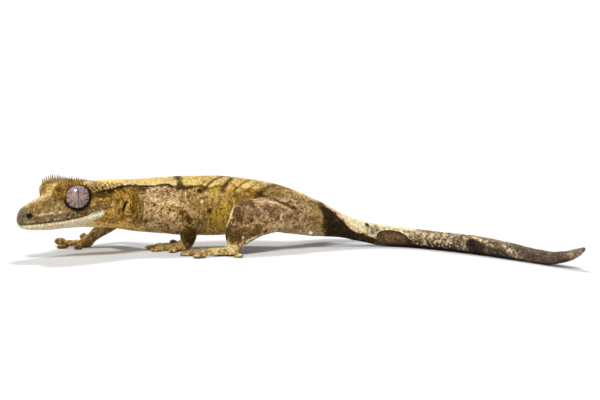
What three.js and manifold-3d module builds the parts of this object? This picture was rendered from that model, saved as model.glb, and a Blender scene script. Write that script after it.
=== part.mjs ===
// Crested gecko, subadult, life size, standing. Millimetres, +Z up, head towards -Y, its left side towards +X.
// The body is swept along one curved spine from named sections; legs, toes, brows and crest are swept tubes and cones
// joined to it, and the whole is parted by thin cuts.
import * as THREE from "three";
import { mergeVertices, mergeGeometries } from "three/addons/utils/BufferGeometryUtils.js";
import Module from "manifold-3d";

const wasm = await Module();
wasm.setup();

// ---------------------------------------------------------------- driving dimensions (mm)
const CUT = 0.3; // width of the thin cuts between pieces
const SNOUT_TO_VENT = 84;
const BODY_SIDES = 18; // facets round the body
const EYE_R = 3.2; // eyeball radius
const EYE = { s: 14.1, out: 5.45, z: 16.1, opens: 0.9, lid: 4.05 };
const EYE_FORWARD = 0.26, EYE_UP = 0.1; // how far the eye's axis turns forward and up
const HEAD_END = 27.5, NECK_END = 38, TRUNK_MID = 57, VENT = SNOUT_TO_VENT, TAIL_1 = 112, TAIL_2 = 142;
const ORIGIN_X = 7.52, ORIGIN_Y = -2.7; // middle of the floor area, taken from the working frame below

// Spine seen from above: distance from the snout, towards the left, towards the tail.
const SPINE = [
  [0, 24, -73.3], [13, 16.6, -62.6], [26.5, 8.8, -51.6], [36.5, 4.1, -42.8], [51.5, -0.5, -28.5], [66.5, -2.6, -13.7],
  [84, -2.6, 3.5], [94, -3.6, 13.5], [104, -4.0, 23.7], [114, -0.2, 33], [123.6, 6, 40.5], [133, 13, 47],
  [142.5, 20.5, 53], [152.5, 28.5, 58.5], [161.5, 36, 63.5], [170.5, 43.5, 68.5],
];
// Named sections of the body: distance from snout, half width, top, bottom, height of the greatest width, squareness above and below.
const SECTIONS = [
  // snout and head
  { s: 0.0, w: 1.3, top: 11.6, bot: 9.0, mid: 10.2, up: 2.2, dn: 2.2 },
  { s: 0.5, w: 2.3, top: 12.5, bot: 8.3, mid: 10.2, up: 2.3, dn: 2.3 },
  { s: 1.6, w: 3.1, top: 13.6, bot: 7.7, mid: 10.2, up: 2.4, dn: 2.4 },
  { s: 4.0, w: 3.9, top: 15.0, bot: 7.3, mid: 10.3, up: 2.4, dn: 2.5 },
  { s: 8.0, w: 5.2, top: 17.2, bot: 7.2, mid: 11.0, up: 2.4, dn: 2.5 },
  { s: 12.0, w: 6.6, top: 18.9, bot: 7.4, mid: 12.0, up: 2.6, dn: 2.5 },
  { s: 16.0, w: 7.6, top: 19.6, bot: 7.5, mid: 12.4, up: 2.7, dn: 2.4 },
  { s: 20.0, w: 8.5, top: 19.9, bot: 7.2, mid: 12.6, up: 2.6, dn: 2.3 },
  { s: 24.0, w: 8.8, top: 20.0, bot: 6.9, mid: 12.6, up: 2.4, dn: 2.2 },
  // neck
  { s: 28.0, w: 8.1, top: 20.0, bot: 6.3, mid: 12.6, up: 2.2, dn: 2.1 },
  { s: 33.0, w: 7.2, top: 20.0, bot: 5.3, mid: 12.4, up: 2.1, dn: 2.1 },
  // shoulders, chest, belly
  { s: 40.0, w: 7.7, top: 20.4, bot: 4.5, mid: 12.2, up: 2.1, dn: 2.2 },
  { s: 48.0, w: 8.4, top: 20.6, bot: 3.7, mid: 11.6, up: 2.1, dn: 2.2 },
  { s: 56.0, w: 8.7, top: 20.6, bot: 3.5, mid: 11.2, up: 2.1, dn: 2.2 },
  { s: 64.0, w: 8.2, top: 19.8, bot: 3.9, mid: 11.2, up: 2.1, dn: 2.2 },
  { s: 72.0, w: 7.0, top: 18.4, bot: 4.2, mid: 11.0, up: 2.1, dn: 2.1 },
  { s: 78.0, w: 6.0, top: 16.6, bot: 3.7, mid: 10.0, up: 2.0, dn: 2.1 },
  { s: 84.0, w: 5.0, top: 13.9, bot: 3.0, mid: 8.5, up: 2.0, dn: 2.0 },
  // tail
  { s: 88.0, w: 4.3, top: 12.0, bot: 2.8, mid: 7.4, up: 2.0, dn: 2.0 },
  { s: 92.0, w: 3.6, top: 9.9, bot: 2.5, mid: 6.2, up: 2.0, dn: 2.0 },
  { s: 98.0, w: 3.0, top: 7.4, bot: 1.2, mid: 4.3, up: 2.0, dn: 2.0 },
  { s: 104.0, w: 2.9, top: 6.3, bot: 0.1, mid: 3.2, up: 2.0, dn: 2.0 },
  { s: 109.0, w: 2.85, top: 5.7, bot: -0.1, mid: 2.8, up: 2.0, dn: 2.0 },
  { s: 120.0, w: 2.75, top: 5.2, bot: -0.12, mid: 2.5, up: 2.0, dn: 2.1 },
  { s: 134.0, w: 2.6, top: 5.0, bot: -0.12, mid: 2.4, up: 2.0, dn: 2.1 },
  { s: 146.0, w: 2.4, top: 4.3, bot: -0.12, mid: 2.0, up: 2.0, dn: 2.2 },
  { s: 154.0, w: 2.3, top: 3.6, bot: -0.1, mid: 1.7, up: 2.0, dn: 2.2 },
  { s: 160.0, w: 2.3, top: 3.4, bot: 0.1, mid: 1.8, up: 2.0, dn: 2.3 },
  { s: 165.0, w: 2.1, top: 4.1, bot: 1.3, mid: 2.7, up: 2.0, dn: 2.2 },
  { s: 168.6, w: 1.5, top: 5.1, bot: 3.0, mid: 4.1, up: 2.0, dn: 2.0 },
  { s: 170.6, w: 0.5, top: 5.6, bot: 4.5, mid: 5.1, up: 2.0, dn: 2.0 },
];
// The mouth line, seen from the side: distance from the snout, height.
const MOUTH = [[-4, 8.9], [0, 9.1], [5, 9.4], [10, 9.95], [14, 10.7], [18, 11.7], [21, 12.7], [23.2, 13.1]];
const JAW_END = 23.2;
// Brow ridge and the crest behind it: distance, out from the middle, height, radius.
const BROW = [
  [8.3, 4.4, 15.9, 0.7], [8.9, 5.1, 17.7, 0.9], [10.4, 5.8, 19.0, 0.95], [13.4, 6.4, 19.55, 0.9], [17, 6.8, 19.4, 0.85],
  [22, 6.5, 18.9, 0.7], [26.4, 5.9, 18.7, 0.5],
];
// Crest spines: from, to (distance from the snout), how many on a side, length
const SPINES = [{ from: 9.4, to: 18.6, count: 6, long: 0.95 }, { from: 20.5, to: 26, count: 3, long: 0.6 }];

// Legs: joints in the working frame [left, tail-wards, up], with a radius at each, and flesh between joints.
const LEGS = {
  left: {
    arm: [[5.6, -43.6, 12.0, 3.9], [8.2, -39.4, 12.0, 3.5], [10.0, -35.6, 11.4, 3.0], [10.4, -32.3, 10.0, 2.9], [9.7, -31.3, 7.4, 2.75], [8.4, -30.9, 4.8, 2.4], [7.4, -31.3, 2.4, 1.8]],
    armCuts: [3, 5.6],
    hand: { palm: [6.8, -33.2, 1.8], toes: [[-3.4, -36.8, 0.9], [-1.6, -41.2], [3.6, -43.2], [9.0, -40.8], [11.8, -35.2]] },
    thigh: [[1.5, -2.0, 9.8, 4.8], [4.0, -6.8, 10.2, 4.6], [6.8, -11.6, 10.6, 4.0], [9.1, -15.6, 10.7, 3.3], [11.6, -16.9, 8.0, 3.1], [14.2, -17.7, 5.0, 2.6], [16.2, -17.3, 2.4, 1.7]],
    thighCuts: [3, 5.6],
    calf: [[6.0, -6.8, 7.6, 2.5], [10.6, -11.4, 6.6, 2.3], [14.6, -15.2, 4.2, 1.7]],
    foot: { palm: [16.3, -18.8, 1.8], toes: [[9.6, -25.6], [13.0, -30.4], [18.0, -31.6], [22.8, -27.6], [21.6, -15.8]] },
  },
  right: {
    arm: [[0.2, -44.4, 10.4, 3.4], [-3.6, -47.8, 9.8, 3.0], [-6.8, -51.4, 8.6, 2.6], [-8.0, -54.0, 7.2, 2.4], [-6.2, -56.4, 5.6, 2.2], [-3.6, -58.8, 3.8, 1.8], [-1.9, -60.4, 2.3, 1.5]],
    armCuts: [3, 5.6],
    hand: { palm: [-1.7, -61.8, 1.8], toes: [[4.4, -62.8], [2.4, -68.4], [-2.6, -70.4, 1.0, 1.2], [-8.4, -69.4], [-9.6, -64.0, 2.2]] },
    thigh: [[-5.0, -2.6, 8.8, 4.6], [-8.8, 1.2, 8.2, 4.1], [-12.6, 5.0, 7.2, 3.5], [-15.6, 8.6, 6.2, 2.8], [-16.2, 12.6, 5.0, 2.4], [-15.8, 16.4, 3.6, 1.95], [-15.2, 19.2, 2.4, 1.6]],
    thighCuts: [3, 5.6],
    calf: [[-8.8, 3.8, 6.2, 2.3], [-13.4, 9.8, 4.8, 2.0], [-15.0, 15.4, 3.2, 1.5]],
    foot: { palm: [-17.0, 20.6, 1.8], toes: [[-19.6, 16.2], [-24.8, 17.6], [-27.8, 22.0], [-26.0, 27.8], [-17.6, 29.6]] },
  },
};
// A toe along its length: part of the length, half width, half thickness, height of its middle
const TOE = [[0, 0.95, 0.85, 1.2], [0.5, 0.74, 0.66, 1.2], [0.74, 0.98, 0.6, 0.75], [0.88, 1.36, 0.6, 0.5], [1, 0.62, 0.45, 0.45]];
const WEB = 0.55; // thickness of the webs between the toes
const CLAW = { long: 1.0, r: 0.3 };

// ---------------------------------------------------------------- curves and tables
const lerp = (a, b, t) => a + (b - a) * t;
const clamp = (x, a, b) => Math.min(b, Math.max(a, x));
function catmull(P, t) { // uniform Catmull-Rom through the rows of P, t in knots
  const i = clamp(Math.floor(t), 0, P.length - 2), u = t - i;
  const p0 = P[Math.max(i - 1, 0)], p1 = P[i], p2 = P[i + 1], p3 = P[Math.min(i + 2, P.length - 1)];
  return p1.map((_, k) => 0.5 * (2 * p1[k] + (p2[k] - p0[k]) * u + (2 * p0[k] - 5 * p1[k] + 4 * p2[k] - p3[k]) * u * u + (3 * p1[k] - p0[k] - 3 * p2[k] + p3[k]) * u * u * u));
}
// The spine measured along itself.
const spineXY = SPINE.map((r) => [r[1], r[2]]);
const track = [];
for (let i = 0; i <= (SPINE.length - 1) * 12; i++) {
  const p = catmull(spineXY, Math.min(i / 12, SPINE.length - 1 - 1e-9));
  const last = track[track.length - 1];
  track.push({ x: p[0], y: p[1], s: last ? last.s + Math.hypot(p[0] - last.x, p[1] - last.y) : 0 });
}
function spineAt(s) {
  const at = (q) => {
    let i = 0;
    while (i < track.length - 2 && track[i + 1].s < q) i++;
    const a = track[i], b = track[i + 1], t = (q - a.s) / (b.s - a.s);
    return [lerp(a.x, b.x, t), lerp(a.y, b.y, t)];
  };
  const p = at(s), q0 = at(s - 1.2), q1 = at(s + 1.2);
  const n = Math.hypot(q1[0] - q0[0], q1[1] - q0[1]);
  const tx = (q1[0] - q0[0]) / n, ty = (q1[1] - q0[1]) / n; // towards the tail
  return { x: p[0], y: p[1], tx, ty, lx: ty, ly: -tx }; // l: towards the animal's left
}
function pchip(rows, key, s) { // smooth without overshoot
  const n = rows.length;
  if (s <= rows[0].s) return rows[0][key];
  if (s >= rows[n - 1].s) return rows[n - 1][key];
  let i = 0;
  while (rows[i + 1].s < s) i++;
  const h = (k) => rows[k + 1].s - rows[k].s, d = (k) => (rows[k + 1][key] - rows[k][key]) / h(k);
  const slope = (k) => {
    if (k === 0) return d(0);
    if (k === n - 1) return d(n - 2);
    const a = d(k - 1), b = d(k);
    if (a * b <= 0) return 0;
    const w1 = 2 * h(k) + h(k - 1), w2 = h(k) + 2 * h(k - 1);
    return (w1 + w2) / (w1 / a + w2 / b);
  };
  const H = h(i), t = (s - rows[i].s) / H, y0 = rows[i][key], y1 = rows[i + 1][key];
  return y0 * (1 + 2 * t) * (1 - t) ** 2 + H * slope(i) * t * (1 - t) ** 2 + y1 * t * t * (3 - 2 * t) + H * slope(i + 1) * t * t * (t - 1);
}
const bodyPoint = (s, out, z) => {
  const f = spineAt(s);
  return new THREE.Vector3(f.x + f.lx * out, f.y + f.ly * out, z);
};

// ---------------------------------------------------------------- meshes and solids
function closedLoft(rings, startPoint, endPoint) {
  const pos = [], idx = [], n = rings[0].length;
  rings.forEach((r) => r.forEach((p) => pos.push(p.x, p.y, p.z)));
  for (let i = 0; i < rings.length - 1; i++)
    for (let j = 0; j < n; j++) {
      const a = i * n + j, b = i * n + ((j + 1) % n), c = a + n, d = b + n;
      idx.push(a, c, b, b, c, d);
    }
  const s0 = pos.length / 3;
  pos.push(startPoint.x, startPoint.y, startPoint.z, endPoint.x, endPoint.y, endPoint.z);
  const e0 = (rings.length - 1) * n;
  for (let j = 0; j < n; j++) {
    idx.push(s0, j, (j + 1) % n);
    idx.push(s0 + 1, e0 + ((j + 1) % n), e0 + j);
  }
  const g = new THREE.BufferGeometry();
  g.setAttribute("position", new THREE.BufferAttribute(new Float32Array(pos), 3));
  g.setIndex(idx);
  return g;
}
function toSolid(geometry) {
  const g = geometry.clone();
  for (const name of Object.keys(g.attributes)) if (name !== "position") g.deleteAttribute(name);
  const m = mergeVertices(g, 1e-4);
  const tri = new Uint32Array(m.index.array);
  let s = new wasm.Manifold(new wasm.Mesh({ numProp: 3, vertProperties: new Float32Array(m.attributes.position.array), triVerts: tri }));
  if (s.volume() < 0) {
    for (let i = 0; i < tri.length; i += 3) [tri[i + 1], tri[i + 2]] = [tri[i + 2], tri[i + 1]];
    s = new wasm.Manifold(new wasm.Mesh({ numProp: 3, vertProperties: new Float32Array(m.attributes.position.array), triVerts: tri }));
  }
  return s;
}
function toGeometry(solid) {
  const m = solid.getMesh(), k = m.numProp, v = new Float32Array(m.numVert * 3);
  for (let i = 0; i < m.numVert; i++) v.set(m.vertProperties.subarray(i * k, i * k + 3), i * 3);
  const g = new THREE.BufferGeometry();
  g.setAttribute("position", new THREE.BufferAttribute(v, 3));
  g.setIndex(new THREE.BufferAttribute(new Uint32Array(m.triVerts), 1));
  const flat = g.toNonIndexed();
  flat.computeVertexNormals();
  return flat;
}
// A tube with round ends through points [x, y, z, radius]; flat < 1 squashes it along "up".
function tube(points, { sides = 12, steps = 4, flat = 1, up = new THREE.Vector3(0, 0, 1) } = {}) {
  const rows = [];
  const last = points.length - 1;
  for (let i = 0; i <= last * steps; i++) rows.push(catmull(points, Math.min(i / steps, last - 1e-9)));
  const P = rows.map((r) => new THREE.Vector3(r[0], r[1], r[2]));
  const rings = [];
  const tangent = (i) => P[Math.min(i + 1, P.length - 1)].clone().sub(P[Math.max(i - 1, 0)]).normalize();
  const ring = (c, t, r) => {
    const side = new THREE.Vector3().crossVectors(up, t).normalize(), rise = new THREE.Vector3().crossVectors(t, side);
    return Array.from({ length: sides }, (_, j) => {
      const a = ((j + 0.5) / sides) * 2 * Math.PI;
      return c.clone().addScaledVector(side, r * Math.cos(a)).addScaledVector(rise, r * flat * Math.sin(a));
    });
  };
  const t0 = tangent(0), t1 = tangent(P.length - 1), r0 = rows[0][3], r1 = rows[rows.length - 1][3];
  rings.push(ring(P[0].clone().addScaledVector(t0, -r0 * 0.7), t0, r0 * 0.7));
  P.forEach((p, i) => rings.push(ring(p, tangent(i), rows[i][3])));
  rings.push(ring(P[P.length - 1].clone().addScaledVector(t1, r1 * 0.7), t1, r1 * 0.7));
  return toSolid(closedLoft(rings, P[0].clone().addScaledVector(t0, -r0), P[P.length - 1].clone().addScaledVector(t1, r1)));
}
function placed(geometry, at, zAxis, roll = new THREE.Vector3(0, 0, 1)) {
  const z = zAxis.clone().normalize();
  let x = new THREE.Vector3().crossVectors(roll, z);
  if (x.lengthSq() < 1e-6) x = new THREE.Vector3(1, 0, 0);
  x.normalize();
  const y = new THREE.Vector3().crossVectors(z, x);
  return geometry.clone().applyMatrix4(new THREE.Matrix4().makeBasis(x, y, z).setPosition(at));
}
const ball = (at, r, detail = [16, 12]) => toSolid(new THREE.SphereGeometry(r, detail[0], detail[1]).translate(at.x, at.y, at.z));
const union = (list) => list.reduce((a, b) => a.add(b));
// Everything on the far side of a plane, as a big box.
function beyond(point, normal, gap = 0) {
  const n = normal.clone().normalize(), side = 160;
  return toSolid(placed(new THREE.BoxGeometry(side, side, side), point.clone().addScaledVector(n, gap + side / 2), n, Math.abs(n.z) > 0.9 ? new THREE.Vector3(0, 1, 0) : undefined));
}
function sectionRing(s, grow = 0, sides = BODY_SIDES) {
  const f = spineAt(s), v = (k) => pchip(SECTIONS, k, s);
  const w = v("w") + grow, top = v("top") + grow, bot = v("bot") - grow, mid = v("mid"), up = v("up"), dn = v("dn");
  return Array.from({ length: sides }, (_, j) => {
    const a = ((j + 0.5) / sides) * 2 * Math.PI, c = Math.cos(a), d = Math.sin(a), e = d > 0 ? up : dn;
    const out = w * Math.sign(c) * Math.abs(c) ** (2 / e), h = (d > 0 ? top - mid : mid - bot) * Math.sign(d) * Math.abs(d) ** (2 / e);
    return new THREE.Vector3(f.x + f.lx * out, f.y + f.ly * out, mid + h);
  });
}
function bodySolid(from, to, grow = 0) {
  const stations = [];
  const steps = [[0, 0], [0.5, 0], [1.6, 0], [2.8, 0]];
  steps.forEach(([s]) => stations.push(s));
  for (let s = 5.2; s < 30; s += 3) stations.push(s);
  for (let s = 32.5; s < 98; s += 4.4) stations.push(s);
  for (let s = 99; s < 158; s += 7) stations.push(s);
  [160, 163, 166, 168.6, 170.2].forEach((s) => stations.push(s));
  const used = stations.filter((s) => s >= from && s <= to);
  const rings = used.map((s) => sectionRing(s, grow));
  const a = used[0], b = used[used.length - 1];
  const midOf = (s, push) => bodyPoint(s + push, 0, pchip(SECTIONS, "mid", s));
  return toSolid(closedLoft(rings, midOf(a, a === 0 ? -0.35 - grow : 0), midOf(b, b > 169 ? 0.5 + grow : 0)));
}

// ---------------------------------------------------------------- body with brows, lids, eyes, ears, nostrils
const headForward = new THREE.Vector3(-spineAt(8).tx, -spineAt(8).ty, 0);
const headLeft = new THREE.Vector3(spineAt(8).lx, spineAt(8).ly, 0);
const onHead = (s, out, z) => bodyPoint(s, out, z);
let body = bodySolid(0, 171);
const eyes = {};
const sides = [["left", 1], ["right", -1]];
for (const [name, k] of sides) {
  const centre = onHead(EYE.s, k * EYE.out, EYE.z);
  const axis = headLeft.clone().multiplyScalar(k).addScaledVector(headForward, EYE_FORWARD).add(new THREE.Vector3(0, 0, EYE_UP)).normalize();
  const lid = toSolid(placed(new THREE.SphereGeometry(EYE.lid, 14, 8), centre, axis)).subtract(beyond(centre, axis, EYE.opens));
  const brow = tube(BROW.map(([s, out, z, r]) => [...onHead(s, k * out, z).toArray(), r]), { sides: 6, steps: 1 });
  const browMass = toSolid(placed(new THREE.SphereGeometry(1, 10, 8).scale(5.0, 3.1, 3.1), onHead(12.8, k * 3.9, 16.7), headLeft.clone().multiplyScalar(k)));
  const cones = [];
  for (const { from, to, count, long } of SPINES)
    for (let i = 0; i < count; i++) {
      const s = lerp(from, to, i / (count - 1)), row = BROW.map(([q, out, z, r]) => ({ s: q, out, z, r }));
      const base = onHead(s, k * (pchip(row, "out", s) + 0.25), pchip(row, "z", s) + 0.4);
      const lean = headLeft.clone().multiplyScalar(0.35 * k).add(new THREE.Vector3(0, 0, 1)).addScaledVector(headForward, i % 2 ? -0.15 : 0.1).normalize();
      const size = long * (0.8 + 0.35 * Math.sin(1.3 * i + 1));
      cones.push(toSolid(placed(new THREE.ConeGeometry(0.36, size + 0.5, 4).rotateX(Math.PI / 2), base.clone().addScaledVector(lean, size / 2), lean)));
    }
  body = union([body, browMass, lid, brow, ...cones]);
  const nostril = ball(onHead(1.9, k * 3.2, 11.5), 0.5, [6, 4]);
  const ear = toSolid(placed(new THREE.SphereGeometry(1, 10, 8).scale(0.55, 1.3, 1.0), onHead(26.6, k * 8.9, 13.2), headLeft.clone().multiplyScalar(k), new THREE.Vector3(0, 0, 1).addScaledVector(headForward, -0.5)));
  body = body.subtract(ball(centre, EYE_R + CUT, [14, 10])).subtract(nostril).subtract(ear);
  eyes[name] = toSolid(placed(new THREE.SphereGeometry(EYE_R, 14, 10), centre, axis));
}

// ---------------------------------------------------------------- legs
function toe([x, y], [tx, ty, lift = 0, roll = 0]) {
  // a slender digit that widens to a flat pad, with a small claw over its end; lift raises the end, roll turns the pad on edge
  const long = Math.hypot(tx - x, ty - y), wx = (tx - x) / long, wy = (ty - y) / long;
  const rings = TOE.map(([part, w, h, z]) => {
    const turn = roll * Math.max(0, part - 0.5) * 2, c = Math.cos(turn), d = Math.sin(turn), rise = lift * part * part;
    return Array.from({ length: 5 }, (_, j) => {
      const a = ((j + 0.25) / 5) * 2 * Math.PI, u = w * Math.cos(a), v = h * Math.sin(a);
      const across = u * c - v * d, up = u * d + v * c;
      return new THREE.Vector3(x + wx * long * part - wy * across, y + wy * long * part + wx * across, z + rise + up);
    });
  });
  const end = (part, z) => new THREE.Vector3(x + wx * long * part, y + wy * long * part, z);
  const digit = toSolid(closedLoft(rings, end(-0.05, 1.2), end(1.02, 0.45 + lift)));
  const lean = new THREE.Vector3(wx, wy, -0.3).normalize();
  const claw = toSolid(placed(new THREE.ConeGeometry(CLAW.r, CLAW.long, 4).rotateX(Math.PI / 2), end(1, 0.8 + lift).addScaledVector(lean, 0.15), lean));
  return digit.add(claw);
}
function foot({ palm, toes }, ankle) {
  const centre = [palm[0], palm[1], 0.95];
  const parts = [tube([[...ankle.slice(0, 3), ankle[3] * 0.95], [palm[0], palm[1], 1.1, palm[2]]], { sides: 7, steps: 1, flat: 0.72 })];
  for (const t of toes) parts.push(toe(centre, t));
  // webs between neighbouring toes
  for (let i = 0; i < toes.length - 1; i++) {
    const mid = (t, f) => [lerp(centre[0], t[0], f), lerp(centre[1], t[1], f)];
    const A = mid(toes[i], 0.5), B = mid(toes[i + 1], 0.5), C = mid([(toes[i][0] + toes[i + 1][0]) / 2, (toes[i][1] + toes[i + 1][1]) / 2], 0.34);
    const flatWeb = new THREE.Shape([new THREE.Vector2(centre[0], centre[1]), new THREE.Vector2(...A), new THREE.Vector2(...C), new THREE.Vector2(...B)]);
    parts.push(toSolid(new THREE.ExtrudeGeometry(flatWeb, { depth: WEB, bevelEnabled: false }).translate(0, 0, 0.45)));
  }
  return union(parts);
}
const floor = toSolid(new THREE.BoxGeometry(300, 300, 40).translate(0, 0, -20));
const nodes = [];
const paint = { hide: 0xa58a55, belly: 0xbfa878, dark: 0x4a3d2c, eye: 0x9c8f92 };
const add = (name, solid, color, roughness = 0.6) => {
  const parts = solid.decompose().sort((a, b) => b.volume() - a.volume());
  const mesh = new THREE.Mesh(toGeometry(parts[0]), new THREE.MeshStandardMaterial({ color, roughness, metalness: 0 }));
  mesh.name = name;
  nodes.push(mesh);
};
const bodyGrown = bodySolid(27, 100, CUT);
const limbJoint = (pts, t) => {
  const p = catmull(pts, t), q = catmull(pts, Math.min(t + 0.2, pts.length - 1)), o = catmull(pts, Math.max(t - 0.2, 0));
  return { at: new THREE.Vector3(p[0], p[1], p[2]), way: new THREE.Vector3(q[0] - o[0], q[1] - o[1], q[2] - o[2]).normalize() };
};
for (const [name, leg] of Object.entries(LEGS)) {
  for (const [pts, cuts, paw, extra, names] of [
    [leg.arm, leg.armCuts, leg.hand, null, ["upper_arm", "forearm", "hand"]],
    [leg.thigh, leg.thighCuts, leg.foot, leg.calf, ["thigh", "shank", "foot"]],
  ]) {
    const grown = (r) => pts.map(([x, y, z, q]) => [x, y, z, q + r]);
    const limbBy = (r) => {
      const shaft = tube(grown(r), { sides: 9, steps: 2 });
      return extra ? shaft.add(tube(extra.map(([x, y, z, q]) => [x, y, z, q + r]), { sides: 7, steps: 1 })) : shaft;
    };
    const limb = limbBy(0), knee = limbJoint(pts, cuts[0]), wrist = limbJoint(pts, cuts[1]);
    const aboveWrist = (s, gap) => s.subtract(beyond(wrist.at, wrist.way, gap));
    const whole = aboveWrist(limb, -CUT / 2);
    const upper = whole.subtract(beyond(knee.at, knee.way, -CUT / 2)).subtract(bodyGrown);
    const lower = whole.intersect(beyond(knee.at, knee.way, CUT / 2)).subtract(bodyGrown);
    const paws = foot(paw, pts[pts.length - 1]).add(limb).subtract(aboveWrist(limbBy(CUT), CUT / 2)).subtract(bodyGrown);
    add(`${names[0]}_${name}`, upper.subtract(floor), paint.hide);
    add(`${names[1]}_${name}`, lower.subtract(floor), paint.hide);
    add(`${names[2]}_${name}`, paws.subtract(floor), paint.belly);
  }
}

// ---------------------------------------------------------------- parting the body
body = body.subtract(floor);
const sideView = (line, lift) => { // a prism across the head below the mouth line
  const shape = new THREE.Shape(), back = JAW_END + lift;
  shape.moveTo(-6, -6);
  shape.lineTo(back, -6);
  shape.lineTo(back, line[line.length - 1][1] + lift);
  for (const [s, z] of [...line].reverse().slice(1)) shape.lineTo(s, z + lift);
  shape.lineTo(-6, line[0][1] + lift);
  shape.closePath();
  const g = new THREE.ExtrudeGeometry(shape, { depth: 44, bevelEnabled: false }).translate(0, 0, -22);
  const o = spineAt(0), back3 = headForward.clone().negate();
  return toSolid(g.applyMatrix4(new THREE.Matrix4().makeBasis(back3, new THREE.Vector3(0, 0, 1), new THREE.Vector3().crossVectors(back3, new THREE.Vector3(0, 0, 1))).setPosition(o.x, o.y, 0)));
};
const station = (s) => { const f = spineAt(s); return { at: new THREE.Vector3(f.x, f.y, 0), way: new THREE.Vector3(f.tx, f.ty, 0) }; };
const slice = (from, to) => {
  let piece = body;
  if (from > 0) { const c = station(from); piece = piece.intersect(beyond(c.at, c.way, CUT / 2)); }
  if (to < 171) { const c = station(to); piece = piece.subtract(beyond(c.at, c.way, -CUT / 2)); }
  return piece;
};
const headAll = slice(0, HEAD_END);
add("head", headAll.subtract(sideView(MOUTH, CUT / 2)), paint.hide);
add("lower_jaw", headAll.intersect(sideView(MOUTH, -CUT / 2)), paint.belly);
add("eye_left", eyes.left, paint.eye, 0.15);
add("eye_right", eyes.right, paint.eye, 0.15);
add("neck", slice(HEAD_END, NECK_END), paint.hide);
add("trunk_front", slice(NECK_END, TRUNK_MID), paint.hide);
add("trunk_rear", slice(TRUNK_MID, VENT), paint.hide);
add("tail_base", slice(VENT, TAIL_1), paint.belly);
add("tail_middle", slice(TAIL_1, TAIL_2), paint.dark);
add("tail_end", slice(TAIL_2, 171), paint.dark);

const gecko = new THREE.Group();
gecko.position.set(-ORIGIN_X, -ORIGIN_Y, 0);
nodes.forEach((m) => gecko.add(m));
const model = new THREE.Group();
model.add(gecko);
export default model;
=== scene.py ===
# A young crested gecko as a still model: one skin for the flesh, a coat of granular scales over it, crest spines, claws and eyes.
# Shapes and markings are worked out in millimetres in the animal's own working frame and moved to the row frame at the end.
import bpy, math, mathutils
import numpy as np
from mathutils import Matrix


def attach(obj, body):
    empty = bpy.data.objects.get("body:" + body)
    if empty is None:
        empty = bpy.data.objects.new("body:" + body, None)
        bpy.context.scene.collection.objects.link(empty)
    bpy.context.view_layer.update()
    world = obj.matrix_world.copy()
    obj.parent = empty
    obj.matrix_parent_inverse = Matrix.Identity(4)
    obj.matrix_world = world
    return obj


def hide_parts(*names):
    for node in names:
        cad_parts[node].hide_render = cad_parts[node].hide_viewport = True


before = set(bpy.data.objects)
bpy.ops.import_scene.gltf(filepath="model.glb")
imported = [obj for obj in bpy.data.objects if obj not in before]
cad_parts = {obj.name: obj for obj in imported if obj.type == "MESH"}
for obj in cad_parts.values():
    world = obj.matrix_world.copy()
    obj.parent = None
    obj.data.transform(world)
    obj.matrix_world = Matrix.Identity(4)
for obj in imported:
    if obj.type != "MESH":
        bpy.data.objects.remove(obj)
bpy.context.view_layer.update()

# ------------------------------------------------------------------ dimensions (mm)
ORIGIN = np.array([7.52, -2.7, 0.0])
STEP = 0.3  # grid of the skin
COAT = 0.1  # the skin lies this far inside the solids
SPINE = np.array([
    (24, -73.3), (16.6, -62.6), (8.8, -51.6), (4.1, -42.8), (-0.5, -28.5), (-2.6, -13.7), (-2.6, 3.5), (-3.6, 13.5), (-4.0, 23.7),
    (-0.2, 33), (6, 40.5), (13, 47), (20.5, 53), (28.5, 58.5), (36, 63.5), (43.5, 68.5)])
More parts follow.
